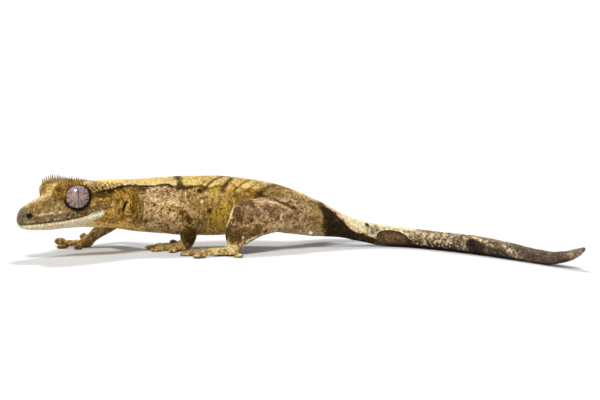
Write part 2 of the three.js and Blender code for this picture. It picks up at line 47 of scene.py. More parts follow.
# distance from the snout, half width, top, bottom, height of the greatest width, squareness above and below
SECTIONS = np.array([
    (-0.35, 0.2, 10.6, 9.9, 10.2, 2.2, 2.2), (0.0, 1.3, 11.6, 9.0, 10.2, 2.2, 2.2), (0.5, 2.3, 12.5, 8.3, 10.2, 2.3, 2.3), (1.6, 3.1, 13.6, 7.7, 10.2, 2.4, 2.4),
    (4, 3.9, 15.0, 7.3, 10.3, 2.4, 2.5), (8, 5.2, 17.2, 7.2, 11.0, 2.4, 2.5), (12, 6.6, 18.9, 7.4, 12.0, 2.6, 2.5), (16, 7.6, 19.6, 7.5, 12.4, 2.7, 2.4),
    (20, 8.5, 19.9, 7.2, 12.6, 2.6, 2.3), (24, 8.8, 20.0, 6.9, 12.6, 2.4, 2.2), (28, 8.1, 20.0, 6.3, 12.6, 2.2, 2.1), (33, 7.2, 20.0, 5.3, 12.4, 2.1, 2.1),
    (40, 7.7, 20.4, 4.5, 12.2, 2.1, 2.2), (48, 8.4, 20.6, 3.7, 11.6, 2.1, 2.2), (56, 8.7, 20.6, 3.5, 11.2, 2.1, 2.2), (64, 8.2, 19.8, 3.9, 11.2, 2.1, 2.2),
    (72, 7.0, 18.4, 4.2, 11.0, 2.1, 2.1), (78, 6.0, 16.6, 3.7, 10.0, 2.0, 2.1), (84, 5.0, 13.9, 3.0, 8.5, 2.0, 2.0), (88, 4.3, 12.0, 2.8, 7.4, 2.0, 2.0),
    (92, 3.6, 9.9, 2.5, 6.2, 2.0, 2.0), (98, 3.0, 7.4, 1.2, 4.3, 2.0, 2.0), (104, 2.9, 6.3, 0.1, 3.2, 2.0, 2.0), (109, 2.85, 5.7, -0.1, 2.8, 2.0, 2.0),
    (120, 2.75, 5.2, -0.12, 2.5, 2.0, 2.1), (134, 2.6, 5.0, -0.12, 2.4, 2.0, 2.1), (146, 2.4, 4.3, -0.12, 2.0, 2.0, 2.2), (154, 2.3, 3.6, -0.1, 1.7, 2.0, 2.2),
    (160, 2.3, 3.4, 0.1, 1.8, 2.0, 2.3), (165, 2.1, 4.1, 1.3, 2.7, 2.0, 2.2), (168.6, 1.5, 5.1, 3.0, 4.1, 2.0, 2.0), (170.4, 0.6, 5.6, 4.5, 5.1, 2.0, 2.0), (170.9, 0.12, 5.3, 5.0, 5.15, 2.0, 2.0)])
EYE_R, EYE_S, EYE_OUT, EYE_Z, LID_R, LID_OPEN = 3.36, 13.85, 5.4, 16.12, 3.9, 0.8
EYE_FORWARD, EYE_UP = 0.26, 0.1
MOUTH = np.array([(-4, 8.9), (0, 9.1), (5, 9.4), (10, 9.95), (14, 10.7), (18, 11.7), (21, 12.7), (23.2, 13.1)])
BROW = np.array([(8.2, 4.5, 16.0, 0.75), (8.5, 5.2, 18.1, 0.9), (10.2, 5.9, 19.2, 0.95), (13.4, 6.4, 19.55, 0.9), (17, 6.8, 19.4, 0.85), (22, 6.5, 18.9, 0.7), (26.4, 5.9, 18.7, 0.5)])
LEGS = {
    "front_left": dict(bone=[(5.6, -43.6, 12.0, 3.9), (8.2, -39.4, 12.0, 3.5), (10.0, -35.6, 11.4, 3.0), (10.4, -32.3, 10.0, 2.9), (9.7, -31.3, 7.4, 2.75), (8.4, -30.9, 4.8, 2.4), (7.4, -31.3, 2.4, 1.8)],
        palm=(6.8, -33.2, 1.8), toes=[(-3.4, -36.8, 0.9), (-1.6, -41.2), (3.6, -43.2), (9.0, -40.8), (11.8, -35.2)], calf=None),
    "hind_left": dict(bone=[(1.5, -2.0, 9.8, 4.8), (4.0, -6.8, 10.2, 4.6), (6.8, -11.6, 10.6, 4.0), (9.1, -15.6, 10.7, 3.3), (11.6, -16.9, 8.0, 3.1), (14.2, -17.7, 5.0, 2.6), (16.2, -17.3, 2.4, 1.7)],
        palm=(16.3, -18.8, 1.8), toes=[(9.6, -25.6), (13.0, -30.4), (18.0, -31.6), (22.8, -27.6), (21.6, -15.8)], calf=[(6.0, -6.8, 7.6, 2.5), (10.6, -11.4, 6.6, 2.3), (14.6, -15.2, 4.2, 1.7)]),
    "front_right": dict(bone=[(0.2, -44.4, 10.4, 3.4), (-3.6, -47.8, 9.8, 3.0), (-6.8, -51.4, 8.6, 2.6), (-8.0, -54.0, 7.2, 2.4), (-6.2, -56.4, 5.6, 2.2), (-3.6, -58.8, 3.8, 1.8), (-1.9, -60.4, 2.3, 1.5)],
        palm=(-1.7, -61.8, 1.8), toes=[(4.4, -62.8), (2.4, -68.4), (-2.6, -70.4, 1.0, 1.2), (-8.4, -69.4), (-9.6, -64.0, 2.2)], calf=None),
    "hind_right": dict(bone=[(-5.0, -2.6, 8.8, 4.6), (-8.8, 1.2, 8.2, 4.1), (-12.6, 5.0, 7.2, 3.5), (-15.6, 8.6, 6.2, 2.8), (-16.2, 12.6, 5.0, 2.4), (-15.8, 16.4, 3.6, 1.95), (-15.2, 19.2, 2.4, 1.6)],
        palm=(-17.0, 20.6, 1.8), toes=[(-19.6, 16.2), (-24.8, 17.6), (-27.8, 22.0), (-26.0, 27.8), (-17.6, 29.6)], calf=[(-8.8, 3.8, 6.2, 2.3), (-13.4, 9.8, 4.8, 2.0), (-15.0, 15.4, 3.2, 1.5)]),
}


# ------------------------------------------------------------------ curves and tables
def catmull(P, per):
    P = np.asarray(P, float)
    out = []
    for i in range(len(P) - 1):
        a, b, c, d = P[max(i - 1, 0)], P[i], P[i + 1], P[min(i + 2, len(P) - 1)]
        for k in range(per):
            t = k / per
            out.append(0.5 * (2 * b + (c - a) * t + (2 * a - 5 * b + 4 * c - d) * t * t + (3 * b - a - 3 * c + d) * t ** 3))
    out.append(P[-1])
    return np.array(out)


def pchip(x, y, q):
    x, y, q = np.asarray(x, float), np.asarray(y, float), np.asarray(q, float)
    h, dl = np.diff(x), np.diff(y) / np.diff(x)
    m = np.zeros(len(x))
    m[0], m[-1] = dl[0], dl[-1]
    for k in range(1, len(x) - 1):
        if dl[k - 1] * dl[k] > 0:
            w1, w2 = 2 * h[k] + h[k - 1], h[k] + 2 * h[k - 1]
            m[k] = (w1 + w2) / (w1 / dl[k - 1] + w2 / dl[k])
    q = np.clip(q, x[0], x[-1])
    i = np.clip(np.searchsorted(x, q, side="right") - 1, 0, len(x) - 2)
    t = (q - x[i]) / h[i]
    return y[i] * (1 + 2 * t) * (1 - t) ** 2 + h[i] * m[i] * t * (1 - t) ** 2 + y[i + 1] * t * t * (3 - 2 * t) + h[i] * m[i + 1] * t * t * (t - 1)


_t = catmull(SPINE, 14)
_d0, _d1 = _t[0] - _t[1], _t[-1] - _t[-2]
TRACK = np.concatenate([[_t[0] + _d0 / np.linalg.norm(_d0) * 12], _t, [_t[-1] + _d1 / np.linalg.norm(_d1) * 12]])
SEG = np.linalg.norm(np.diff(TRACK, axis=0), axis=1)
ARC = np.concatenate([[0], np.cumsum(SEG)]) - 12.0


def along(xy):
    """(distance from the snout, distance out to the left) of points on the floor plan."""
    xy = np.asarray(xy, float)
    S, O = np.empty(len(xy)), np.empty(len(xy))
    A, D = TRACK[:-1], np.diff(TRACK, axis=0)
    L2 = (D * D).sum(1)
    for i in range(0, len(xy), 20000):
        p = xy[i:i + 20000, None, :] - A[None]
        t = np.clip((p * D).sum(-1) / L2, 0, 1)
        r = p - t[..., None] * D
        q = (r * r).sum(-1)
        j = q.argmin(1)
        k = np.arange(len(j))
        S[i:i + 20000] = ARC[j] + t[k, j] * SEG[j]
        tx, ty = D[j, 0] / SEG[j], D[j, 1] / SEG[j]
        O[i:i + 20000] = r[k, j, 0] * ty - r[k, j, 1] * tx
    return S, O


def at(s, out=0.0, z=0.0):
    """A point by distance from the snout, distance out to the left, and height."""
    x, y = np.interp(s, ARC, TRACK[:, 0]), np.interp(s, ARC, TRACK[:, 1])
    x0, y0 = np.interp(s - 1.2, ARC, TRACK[:, 0]), np.interp(s - 1.2, ARC, TRACK[:, 1])
    x1, y1 = np.interp(s + 1.2, ARC, TRACK[:, 0]), np.interp(s + 1.2, ARC, TRACK[:, 1])
    n = math.hypot(x1 - x0, y1 - y0)
    tx, ty = (x1 - x0) / n, (y1 - y0) / n
    return np.array([x + ty * out, y - tx * out, z])


def section(s):
    return [pchip(SECTIONS[:, 0], SECTIONS[:, k], s) for k in range(1, 7)]


_f = at(8) - at(9)
FORWARD = _f / np.linalg.norm(_f)
LEFT = at(8, 1) - at(8)
UP = np.array([0, 0, 1.0])


# ------------------------------------------------------------------ seeded smooth noise
_lat = np.random.RandomState(71).rand(32, 32, 32).astype(np.float32) * 2 - 1


def noise(P, size, seed=0):
    """Smooth noise from -1 to 1 with features of that size."""
    q = np.asarray(P, float) / size + 17.3 * (seed + 1) + np.array([0.0, 5.1, 9.7]) * seed
    i = np.floor(q).astype(int)
    f = q - i
    f = f * f * (3 - 2 * f)
    out = 0
    for dx in (0, 1):
        for dy in (0, 1):
            for dz in (0, 1):
                w = (f[:, 0] if dx else 1 - f[:, 0]) * (f[:, 1] if dy else 1 - f[:, 1]) * (f[:, 2] if dz else 1 - f[:, 2])
                out = out + w * _lat[(i[:, 0] + dx) & 31, (i[:, 1] + dy) & 31, (i[:, 2] + dz) & 31]
    return out


def fractal(P, size, seed=0, octaves=3):
    out, amp, tot = 0, 1.0, 0.0
    for k in range(octaves):
        out = out + amp * noise(P, size / 2 ** k, seed + 3 * k)
        tot += amp
        amp *= 0.6
    return out / tot * 1.5


def smooth(a, b, x):
    t = np.clip((x - a) / (b - a), 0, 1)
    return t * t * (3 - 2 * t)


# ------------------------------------------------------------------ the flesh as one field on a grid
LOW = np.array([-30.5, -76.0, -0.9])
HIGH = np.array([47.5, 72.0, 22.6])
N = np.ceil((HIGH - LOW) / STEP).astype(int)
GX, GY, GZ = (LOW[k] + STEP * np.arange(N[k]) for k in range(3))
D = np.full(N, 9.0, np.float32)


def smin(a, b, k):
    h = np.clip(0.5 + 0.5 * (b - a) / k, 0, 1)
    return b * (1 - h) + a * h - k * h * (1 - h)


def box(lo, hi, pad=1.5):
    s = tuple(slice(max(0, int((lo[k] - pad - LOW[k]) / STEP)), max(1, int((hi[k] + pad - LOW[k]) / STEP) + 2)) for k in range(3))
    return s, (GX[s[0]][:, None, None], GY[s[1]][None, :, None], GZ[s[2]][None, None, :])


def tube_field(pts, XYZ, per=3, flat=None):
    P = catmull(pts, per)
    out = None
    for a, b in zip(P[:-1], P[1:]):
        d = b[:3] - a[:3]
        L = (d * d).sum() + 1e-9
        px, py, pz = XYZ[0] - a[0], XYZ[1] - a[1], XYZ[2] - a[2]
        t = np.clip((px * d[0] + py * d[1] + pz * d[2]) / L, 0, 1)
        rx, ry, rz = px - t * d[0], py - t * d[1], pz - t * d[2]
        if flat:
            rz = rz / flat
        q = np.sqrt(rx * rx + ry * ry + rz * rz) - (a[3] + t * (b[3] - a[3]))
        out = q if out is None else np.minimum(out, q)
    return out


def blob_field(c, axes, radii, XYZ):
    """Ellipsoid with the given unit axes and radii."""
    p = [XYZ[k] - c[k] for k in range(3)]
    k0 = k1 = 0
    for ax, r in zip(axes, radii):
        u = p[0] * ax[0] + p[1] * ax[1] + p[2] * ax[2]
        k0 = k0 + (u / r) ** 2
        k1 = k1 + (u / r ** 2) ** 2
    k0, k1 = np.sqrt(k0), np.sqrt(k1)
    return k0 * (k0 - 1) / (k1 + 1e-6)


def join(lo, hi, fn, k, pad=2.5):
    s, XYZ = box(np.asarray(lo), np.asarray(hi), pad)
    D[s] = smin(D[s], fn(XYZ), k)


def carve(lo, hi, fn, k, pad=1.5):
    s, XYZ = box(np.asarray(lo), np.asarray(hi), pad)
    D[s] = -smin(-D[s], fn(XYZ), k)


# body
xx, yy = np.meshgrid(GX, GY, indexing="ij")
S2, O2 = along(np.stack([xx.ravel(), yy.ravel()], 1))
S2, O2 = S2.reshape(xx.shape), O2.reshape(xx.shape)
w, top, bot, mid, eu, ed = [v.reshape(xx.shape) for v in section(S2.ravel())]
near = np.abs(O2) < w + 3.5
ii, jj = np.nonzero(near & (S2 > -3) & (S2 < 174))
A = np.abs(O2[ii, jj])[:, None]
V = GZ[None, :] - mid[ii, jj][:, None]
hgt = np.where(V > 0, (top - mid)[ii, jj][:, None], (mid - bot)[ii, jj][:, None])
ee = np.where(V > 0, eu[ii, jj][:, None], ed[ii, jj][:, None])
f = ((A / w[ii, jj][:, None]) ** ee + (np.abs(V) / hgt) ** ee) ** (1 / ee) + 1e-6
r = np.sqrt(A * A + V * V)
d = np.where(r < 0.02, -np.minimum(hgt, w[ii, jj][:, None]), r * (1 - 1 / f))
sv = S2[ii, jj][:, None]
d = np.maximum(d, np.maximum(-0.35 - sv, sv - 170.9))
D[ii, jj, :] = d
body_only = D.copy()

# legs: flesh of each limb joined softly to the body, then palm, toes and webs
CLAWS = []
for name, leg in LEGS.items():
    bone = np.array(leg["bone"])
    lo, hi = (bone[:, :3] - bone[:, 3:]).min(0), (bone[:, :3] + bone[:, 3:]).max(0)
    s, XYZ = box(lo, hi, 2.5)
    limb = tube_field(bone, XYZ)
    if leg["calf"]:
        limb = smin(limb, tube_field(leg["calf"], XYZ), 0.8)
    D[s] = smin(D[s], limb, 2.2 if name == "front_left" else 1.6)
    px, py, pr = leg["palm"]
    toes = [tuple(t) + (0.0,) * (4 - len(t)) for t in leg["toes"]]
    pts = np.array([[t[0], t[1], 0] for t in toes] + [[px, py, 0]])
    s, XYZ = box(pts.min(0) - [2, 2, 0.5], pts.max(0) + [2, 2, 4.5], 0.5)
    ank = bone[-1]
    paw = tube_field([(ank[0], ank[1], ank[2], ank[3] * 0.95), (px, py, 1.25, pr * 0.95)], XYZ, per=1)
    paw = smin(paw, blob_field((px, py, 0.9), np.eye(3), (2.3, 2.3, 0.85), XYZ), 0.6)
    for tx, ty, lift, roll in toes:
        L = math.hypot(tx - px, ty - py)
        ux, uy = (tx - px) / L, (ty - py) / L
        g = lambda p, z, rr: (px + ux * L * p, py + uy * L * p, z + lift * p * p, rr)
        dig = tube_field([g(0, 1.15, 0.9), g(0.45, 1.15, 0.68), g(0.72, 0.9, 0.58), g(0.97, 0.82, 0.36)], XYZ, per=2)
        c, sn = math.cos(roll), math.sin(roll)
        fwd = np.array([ux, uy, lift * 0.25]); fwd /= np.linalg.norm(fwd)
        side = np.array([-uy, ux, 0]) * c + UP * sn
        nrm = np.cross(fwd, side)
        pc = np.array([px + ux * L * 0.86, py + uy * L * 0.86, 0.5 + lift * 0.74 + 0.2 * abs(roll)])
        pad = blob_field(pc, (fwd, side, nrm), (0.15 * L + 0.62, 1.38, 0.62), XYZ)
        toe = smin(dig, pad, 0.35)
        paw = smin(paw, toe, 0.55)
        tip = np.array([px + ux * L * 1.0, py + uy * L * 1.0, 0.82 + lift])
        CLAWS.append((tip, np.array([ux, uy, -0.28]), 0.95))
    for k in range(4):
        a = np.array([px + (toes[k][0] - px) * 0.6, py + (toes[k][1] - py) * 0.6])
        b = np.array([px + (toes[k + 1][0] - px) * 0.6, py + (toes[k + 1][1] - py) * 0.6])
        m = (a + b) / 2 * 0.62 + np.array([px, py]) * 0.38
        if name == "hind_left" and k == 3:
            m = (a + b) / 2 * 0.86 + np.array([px, py]) * 0.14
        web = None
        for q0, q1 in ((a, m), (m, b)):
            tri = [np.array([px, py]), q0, q1]
            if np.cross(tri[1] - tri[0], tri[2] - tri[0]) < 0:
                tri = [tri[0], tri[2], tri[1]]
            e = None
            for u0, u1 in zip(tri, tri[1:] + tri[:1]):
                dd = (u1 - u0) / np.linalg.norm(u1 - u0)
                q = (XYZ[0] - u0[0]) * dd[1] - (XYZ[1] - u0[1]) * dd[0]
                e = q if e is None else np.maximum(e, q)
            web = e if web is None else np.minimum(web, e)
        slab = np.maximum(web, np.abs(XYZ[2] - 0.72) - 0.28)
        paw = smin(paw, slab, 0.35)
    D[s] = smin(D[s], paw, 0.5)

# head
zm = np.interp(S2, MOUTH[:, 0], MOUTH[:, 1])
for k in (1, -1):
    eye = at(EYE_S, k * EYE_OUT, EYE_Z)
    axis = LEFT * k + FORWARD * EYE_FORWARD + UP * EYE_UP
    axis /= np.linalg.norm(axis)
    brow = np.array([[*at(s_, k * o_, z_), r_] for s_, o_, z_, r_ in BROW])
    bm = at(12.8, k * 3.9, 16.7)
    join(bm - 6, bm + 6, lambda q: blob_field(bm, (FORWARD, UP, LEFT), (5.0, 3.1, 3.1), q), 1.0, 0)
    ch = at(21.3, k * 6.2, 12.7)
    join(ch - 6, ch + 6, lambda q: blob_field(ch, (FORWARD, UP, LEFT), (4.6, 3.6, 2.75), q), 1.4, 0)

    def lid(q):
        p = [q[i] - eye[i] for i in range(3)]
        rr = np.sqrt(p[0] ** 2 + p[1] ** 2 + p[2] ** 2) - LID_R
        pl = p[0] * axis[0] + p[1] * axis[1] + p[2] * axis[2] - LID_OPEN
        return -smin(-rr, -pl, 0.3)

    join(eye - 5, eye + 5, lid, 0.9, 0)
    join(brow[:, :3].min(0) - 1, brow[:, :3].max(0) + 1, lambda q: tube_field(brow, q), 0.9)
    carve(eye - 4, eye + 4, lambda q: np.sqrt((q[0] - eye[0]) ** 2 + (q[1] - eye[1]) ** 2 + (q[2] - eye[2]) ** 2) - EYE_R + 0.12, 0.25, 0)
    ns = at(1.95, k * 3.15, 11.45)
    join(ns - 2, ns + 2, lambda q: blob_field(ns - LEFT * k * 0.35, (FORWARD, UP, LEFT), (1.0, 0.85, 0.75), q), 0.6, 0)
    carve(ns - 2, ns + 2, lambda q: blob_field(ns + LEFT * k * 0.3, (FORWARD, UP, LEFT), (0.5, 0.42, 0.6), q), 0.15, 0)
    er = at(26.7, k * 8.6, 13.1)
    slant = UP - FORWARD * -0.45
    slant = (UP + (-FORWARD) * 0.5); slant /= np.linalg.norm(slant)
    cross_ = np.cross(slant, LEFT)
    carve(er - 3, er + 3, lambda q: blob_field(er, (slant, cross_, LEFT), (1.35, 0.42, 1.3), q), 0.35, 0)

head = (S2 > -1) & (S2 < 40) & (np.abs(O2) < 14)
hi_, hj_ = np.nonzero(head)
Z3 = GZ[None, :]
sh, oh, zmh = S2[hi_, hj_][:, None], np.abs(O2[hi_, hj_])[:, None], zm[hi_, hj_][:, None]
tp = top[hi_, hj_][:, None]
add = 0.34 * np.exp(-((Z3 - zmh) / 0.26) ** 2) * smooth(23.8, 21.5, sh)  # mouth line
add -= 0.16 * np.exp(-((Z3 - zmh - 0.75) / 0.45) ** 2) * smooth(22, 18, sh)  # upper lip
add -= 0.12 * np.exp(-((Z3 - zmh + 0.7) / 0.5) ** 2) * smooth(22, 18, sh)  # lower lip
add += 0.55 * np.exp(-(oh / 2.6) ** 2) * smooth(3.5, 9, sh) * smooth(26, 18, sh) * smooth(tp - 3, tp - 0.5, Z3)  # furrow between the brows
add -= 0.22 * np.exp(-((oh - 3.0) / 0.9) ** 2) * smooth(2, 5, sh) * smooth(10, 7.5, sh) * smooth(tp - 4, tp - 1, Z3)  # ridges of the snout
D[hi_, hj_, :] += add.astype(np.float32)

D += COAT
s, XYZ = box(np.array([-99, -99, -9.0]) * 0 + LOW, HIGH, 0)
D = np.maximum(D, (0.03 - GZ)[None, None, :].astype(np.float32))
D[0], D[-1], D[:, 0], D[:, -1], D[:, :, 0], D[:, :, -1] = 1, 1, 1, 1, 1, 1


# ------------------------------------------------------------------ the field as a mesh of quads
def surface(D):
    I = D < 0
    n = np.zeros(tuple(k - 1 for k in D.shape), np.int8)
    for dx in (0, 1):
        for dy in (0, 1):
            for dz in (0, 1):
                n += I[dx:D.shape[0] - 1 + dx, dy:D.shape[1] - 1 + dy, dz:D.shape[2] - 1 + dz]
    mask = (n > 0) & (n < 8)
    idx = np.full(mask.shape, -1, np.int64)
    idx[mask] = np.arange(mask.sum())
    c = np.stack(np.nonzero(mask), 1)
    acc, cnt = np.zeros((len(c), 3)), np.zeros(len(c))
    for ax in range(3):
        o1, o2 = [(1, 2), (0, 2), (0, 1)][ax]
        for p in (0, 1):
            for q in (0, 1):
                a = np.zeros(3, int); a[o1], a[o2] = p, q
                b = a.copy(); b[ax] = 1
                va = D[c[:, 0] + a[0], c[:, 1] + a[1], c[:, 2] + a[2]]
                vb = D[c[:, 0] + b[0], c[:, 1] + b[1], c[:, 2] + b[2]]
                x = (va < 0) != (vb < 0)
                t = np.where(x, va / np.where(x, va - vb, 1), 0)
                acc += np.where(x[:, None], a + t[:, None] * (b - a), 0)
                cnt += x
    verts = LOW + STEP * (c + acc / cnt[:, None])
    quads = []
    for ax in range(3):
        o1, o2 = [(1, 2), (2, 0), (0, 1)][ax]
        sl0, sl1 = [slice(1, -1)] * 3, [slice(1, -1)] * 3
        sl0[ax], sl1[ax] = slice(0, -1), slice(1, None)
        a, b = I[tuple(sl0)], I[tuple(sl1)]
        for inside, flip in ((a & ~b, False), (~a & b, True)):
            e = np.stack(np.nonzero(inside), 1) + 1
            e[:, ax] -= 1
            off = np.zeros((4, 3), int)
            off[1, o1] = off[2, o1] = -1
            off[2, o2] = off[3, o2] = -1
            q = np.stack([idx[e[:, 0] + o[0], e[:, 1] + o[1], e[:, 2] + o[2]] for o in off], 1)
            quads.append(q[:, ::-1] if flip else q)
    return verts, np.concatenate(quads)


def biggest(verts, quads):
    """The one connected surface: small loose bits are dropped."""
    lab = np.arange(len(verts))
    e = np.concatenate([quads[:, [0, 1]], quads[:, [1, 2]], quads[:, [2, 3]], quads[:, [3, 0]]])
    while True:
        m = np.minimum(lab[e[:, 0]], lab[e[:, 1]])
        new = lab.copy()
        np.minimum.at(new, e[:, 0], m)
        np.minimum.at(new, e[:, 1], m)
        new = new[new]
        new = new[new]
        if (new == lab).all():
            break
        lab = new
    u, c = np.unique(lab, return_counts=True)
    keep = lab == u[c.argmax()]
    remap = np.cumsum(keep) - 1
    q = quads[keep[quads].all(1)]
    return verts[keep], remap[q]


def relax(verts, quads, times, amount=0.5):
    e = np.concatenate([quads[:, [0, 1]], quads[:, [1, 2]], quads[:, [2, 3]], quads[:, [3, 0]]])
    e = np.concatenate([e, e[:, ::-1]])
    cnt = np.bincount(e[:, 0], minlength=len(verts))[:, None]
    for _ in range(times):
        s = np.stack([np.bincount(e[:, 0], verts[e[:, 1], k], len(verts)) for k in range(3)], 1) / cnt
        low = verts[:, 2].copy()
        verts = verts + amount * (s - verts)
        verts[:, 2] = np.where(low < 0.08, low, verts[:, 2])
    return verts


def normals(verts, quads):
    d1, d2 = verts[quads[:, 2]] - verts[quads[:, 0]], verts[quads[:, 3]] - verts[quads[:, 1]]
    fn = np.cross(d1, d2)
    n = np.stack([sum(np.bincount(quads[:, j], fn[:, k], len(verts)) for j in range(4)) for k in range(3)], 1)
    return n / (np.linalg.norm(n, axis=1, keepdims=True) + 1e-12)


verts, quads = surface(D)
verts, quads = biggest(verts, quads)
verts = relax(verts, quads, 2, 0.45)
nrm = normals(verts, quads)
print("SKIN", len(verts), len(quads), verts.min(0), verts.max(0), flush=True)


# ------------------------------------------------------------------ where a point lies on the animal
LIMB_LINES = []
for name, leg in LEGS.items():
    bone = [b[:3] for b in leg["bone"]]
    palm = (leg["palm"][0], leg["palm"][1], 1.0)
    lines = [(catmull(np.array(bone + [palm]), 3), 0.0)]
    for t in leg["toes"]:
        lines.append((np.array([palm, (t[0], t[1], 0.8 + (t[2] if len(t) > 2 else 0))]), 100.0))
    LIMB_LINES.append(lines)


def body_place(P):
    """distance along, out, angle round (0 at the side, 90 on the back), distance outside the body's own section"""
    s, o = along(P[:, :2])
    w, top, bot, mid, eu, ed = section(s)
    V = P[:, 2] - mid
    h = np.where(V > 0, top - mid, mid - bot)
    e = np.where(V > 0, eu, ed)
    f = ((np.abs(o) / w) ** e + (np.abs(V) / h) ** e) ** (1 / e) + 1e-6
    r = np.sqrt(o * o + V * V)
    return s, o, np.degrees(np.arctan2(V / h, np.abs(o) / w)), r * (1 - 1 / f)


def limb_place(P):
    """nearest limb, distance to its middle line, how far along it (0 at the body, 1 at the palm, up to 2 at the tips of the toes), angle round"""
    best = np.full(len(P), 1e9)
    which, t_all, ang = np.zeros(len(P), int), np.zeros(len(P)), np.zeros(len(P))
    for i, lines in enumerate(LIMB_LINES):
        for line, extra in lines:
            n = len(line) - 1
            for j in range(n):
                a, b = line[j], line[j + 1]
                d = b - a
                t = np.clip(((P - a) @ d) / (d @ d), 0, 1)
                r = P - a - t[:, None] * d
                q = (r * r).sum(1) * (0.7 if extra else 1)
                m = q < best
                best[m] = q[m]
                which[m] = i
                t_all[m] = ((j + t[m]) / n) + (1 if extra else 0)
                dn = d / np.linalg.norm(d)
                e1 = np.cross(dn, UP if abs(dn[2]) < 0.9 else LEFT)
                e1 /= np.linalg.norm(e1)
                ang[m] = np.arctan2(r[m] @ np.cross(e1, dn), r[m] @ e1)
    return which, np.sqrt(best), t_all, ang


def unwrap(s, o, deg, on_limb, which, t, ang):
    """The skin's own unwrap: the body along u and round v, each leg in a strip below it."""
    turn = np.where(o >= 0, deg, 180 - deg)  # -90..270
    u = 0.01 + 0.98 * np.clip((s + 1) / 173, 0, 1)
    v = 0.36 + 0.63 * np.clip((turn + 90) / 360, 0, 1)
    lu = 0.02 + 0.46 * (which % 2) + 0.44 * t / 2
    lv = 0.015 + 0.17 * (which // 2) + 0.15 * (ang + math.pi) / (2 * math.pi)
    return np.stack([np.where(on_limb, lu, u), np.where(on_limb, lv, v)], 1)


# ------------------------------------------------------------------ markings
def rgb(r, g, b):
    c = np.array([r, g, b]) / 255
    return np.where(c < 0.04045, c / 12.92, ((c + 0.055) / 1.055) ** 2.4)


def ramp(table, q):
    x = [row[0] for row in table]
    return np.stack([np.interp(q, x, [rgb(*row[1:])[k] for row in table]) for k in range(3)], 1)


# colours by distance from the snout: side, back, belly
SIDE = [(0, 100, 90, 68), (1.3, 112, 98, 72), (2.4, 132, 107, 64), (8, 146, 119, 72), (14, 152, 122, 72), (19, 160, 124, 54), (27, 158, 120, 50), (29.4, 136, 101, 44), (31, 124, 93, 44), (33.5, 156, 124, 80),
    (37, 190, 157, 119), (43, 176, 144, 102), (47, 148, 116, 62), (50, 164, 130, 78), (55, 168, 132, 52), (59, 168, 131, 32), (64, 148, 116, 52), (70, 138, 110, 64), (76, 148, 121, 78), (82, 150, 123, 80),
    (87, 128, 102, 64), (95, 176, 158, 126), (104, 158, 140, 110), (112, 152, 132, 104), (122, 146, 126, 100), (132, 128, 110, 88), (142, 90, 74, 56), (150, 86, 71, 55), (156, 90, 73, 60), (165.5, 98, 80, 64), (168.3, 136, 118, 92), (170.2, 104, 88, 84), (171, 84, 68, 74)]
BACK = [(0, 104, 94, 72), (1.5, 130, 112, 80), (4, 166, 138, 92), (9, 184, 153, 92), (15, 176, 144, 80), (18, 196, 164, 104), (24, 208, 177, 116), (29, 218, 184, 120), (40, 220, 187, 122), (50, 214, 180, 106), (58, 208, 175, 98), (66, 210, 176, 100),
    (70, 196, 166, 100), (76, 168, 140, 92), (82, 176, 148, 102), (86, 140, 112, 72), (89, 214, 170, 120), (92, 242, 226, 192), (97, 244, 234, 206), (101, 206, 190, 152), (108, 206, 186, 146), (113, 222, 200, 158), (118, 150, 130, 102), (130, 112, 92, 70), (135, 128, 110, 84), (140, 120, 102, 78), (146, 100, 84, 62), (156, 92, 76, 60), (165, 98, 80, 70), (171, 86, 68, 84)]
BELLY = [(0, 170, 152, 124), (3, 206, 188, 158), (14, 208, 190, 158), (20, 208, 172, 104), (27, 198, 156, 74), (34, 176, 144, 96), (44, 178, 146, 100), (56, 176, 144, 84), (70, 178, 152, 110), (84, 166, 142, 104), (92, 120, 98, 72), (104, 84, 68, 52), (112, 74, 60, 48), (124, 88, 74, 60), (140, 86, 72, 58), (156, 82, 66, 54), (171, 84, 66, 66)]
BORDER = [(0, 70), (13, 60), (16, 34), (20, 38), (22.5, 41), (25.5, 48), (29.5, 56), (35, 51), (41, 53), (44, 44), (46, 46), (50, 48), (53, 43), (57, 50), (60, 56), (62, 46), (65, 44), (68, 44), (72, 62), (78, 70), (88, 60), (100, 55), (171, 60)]
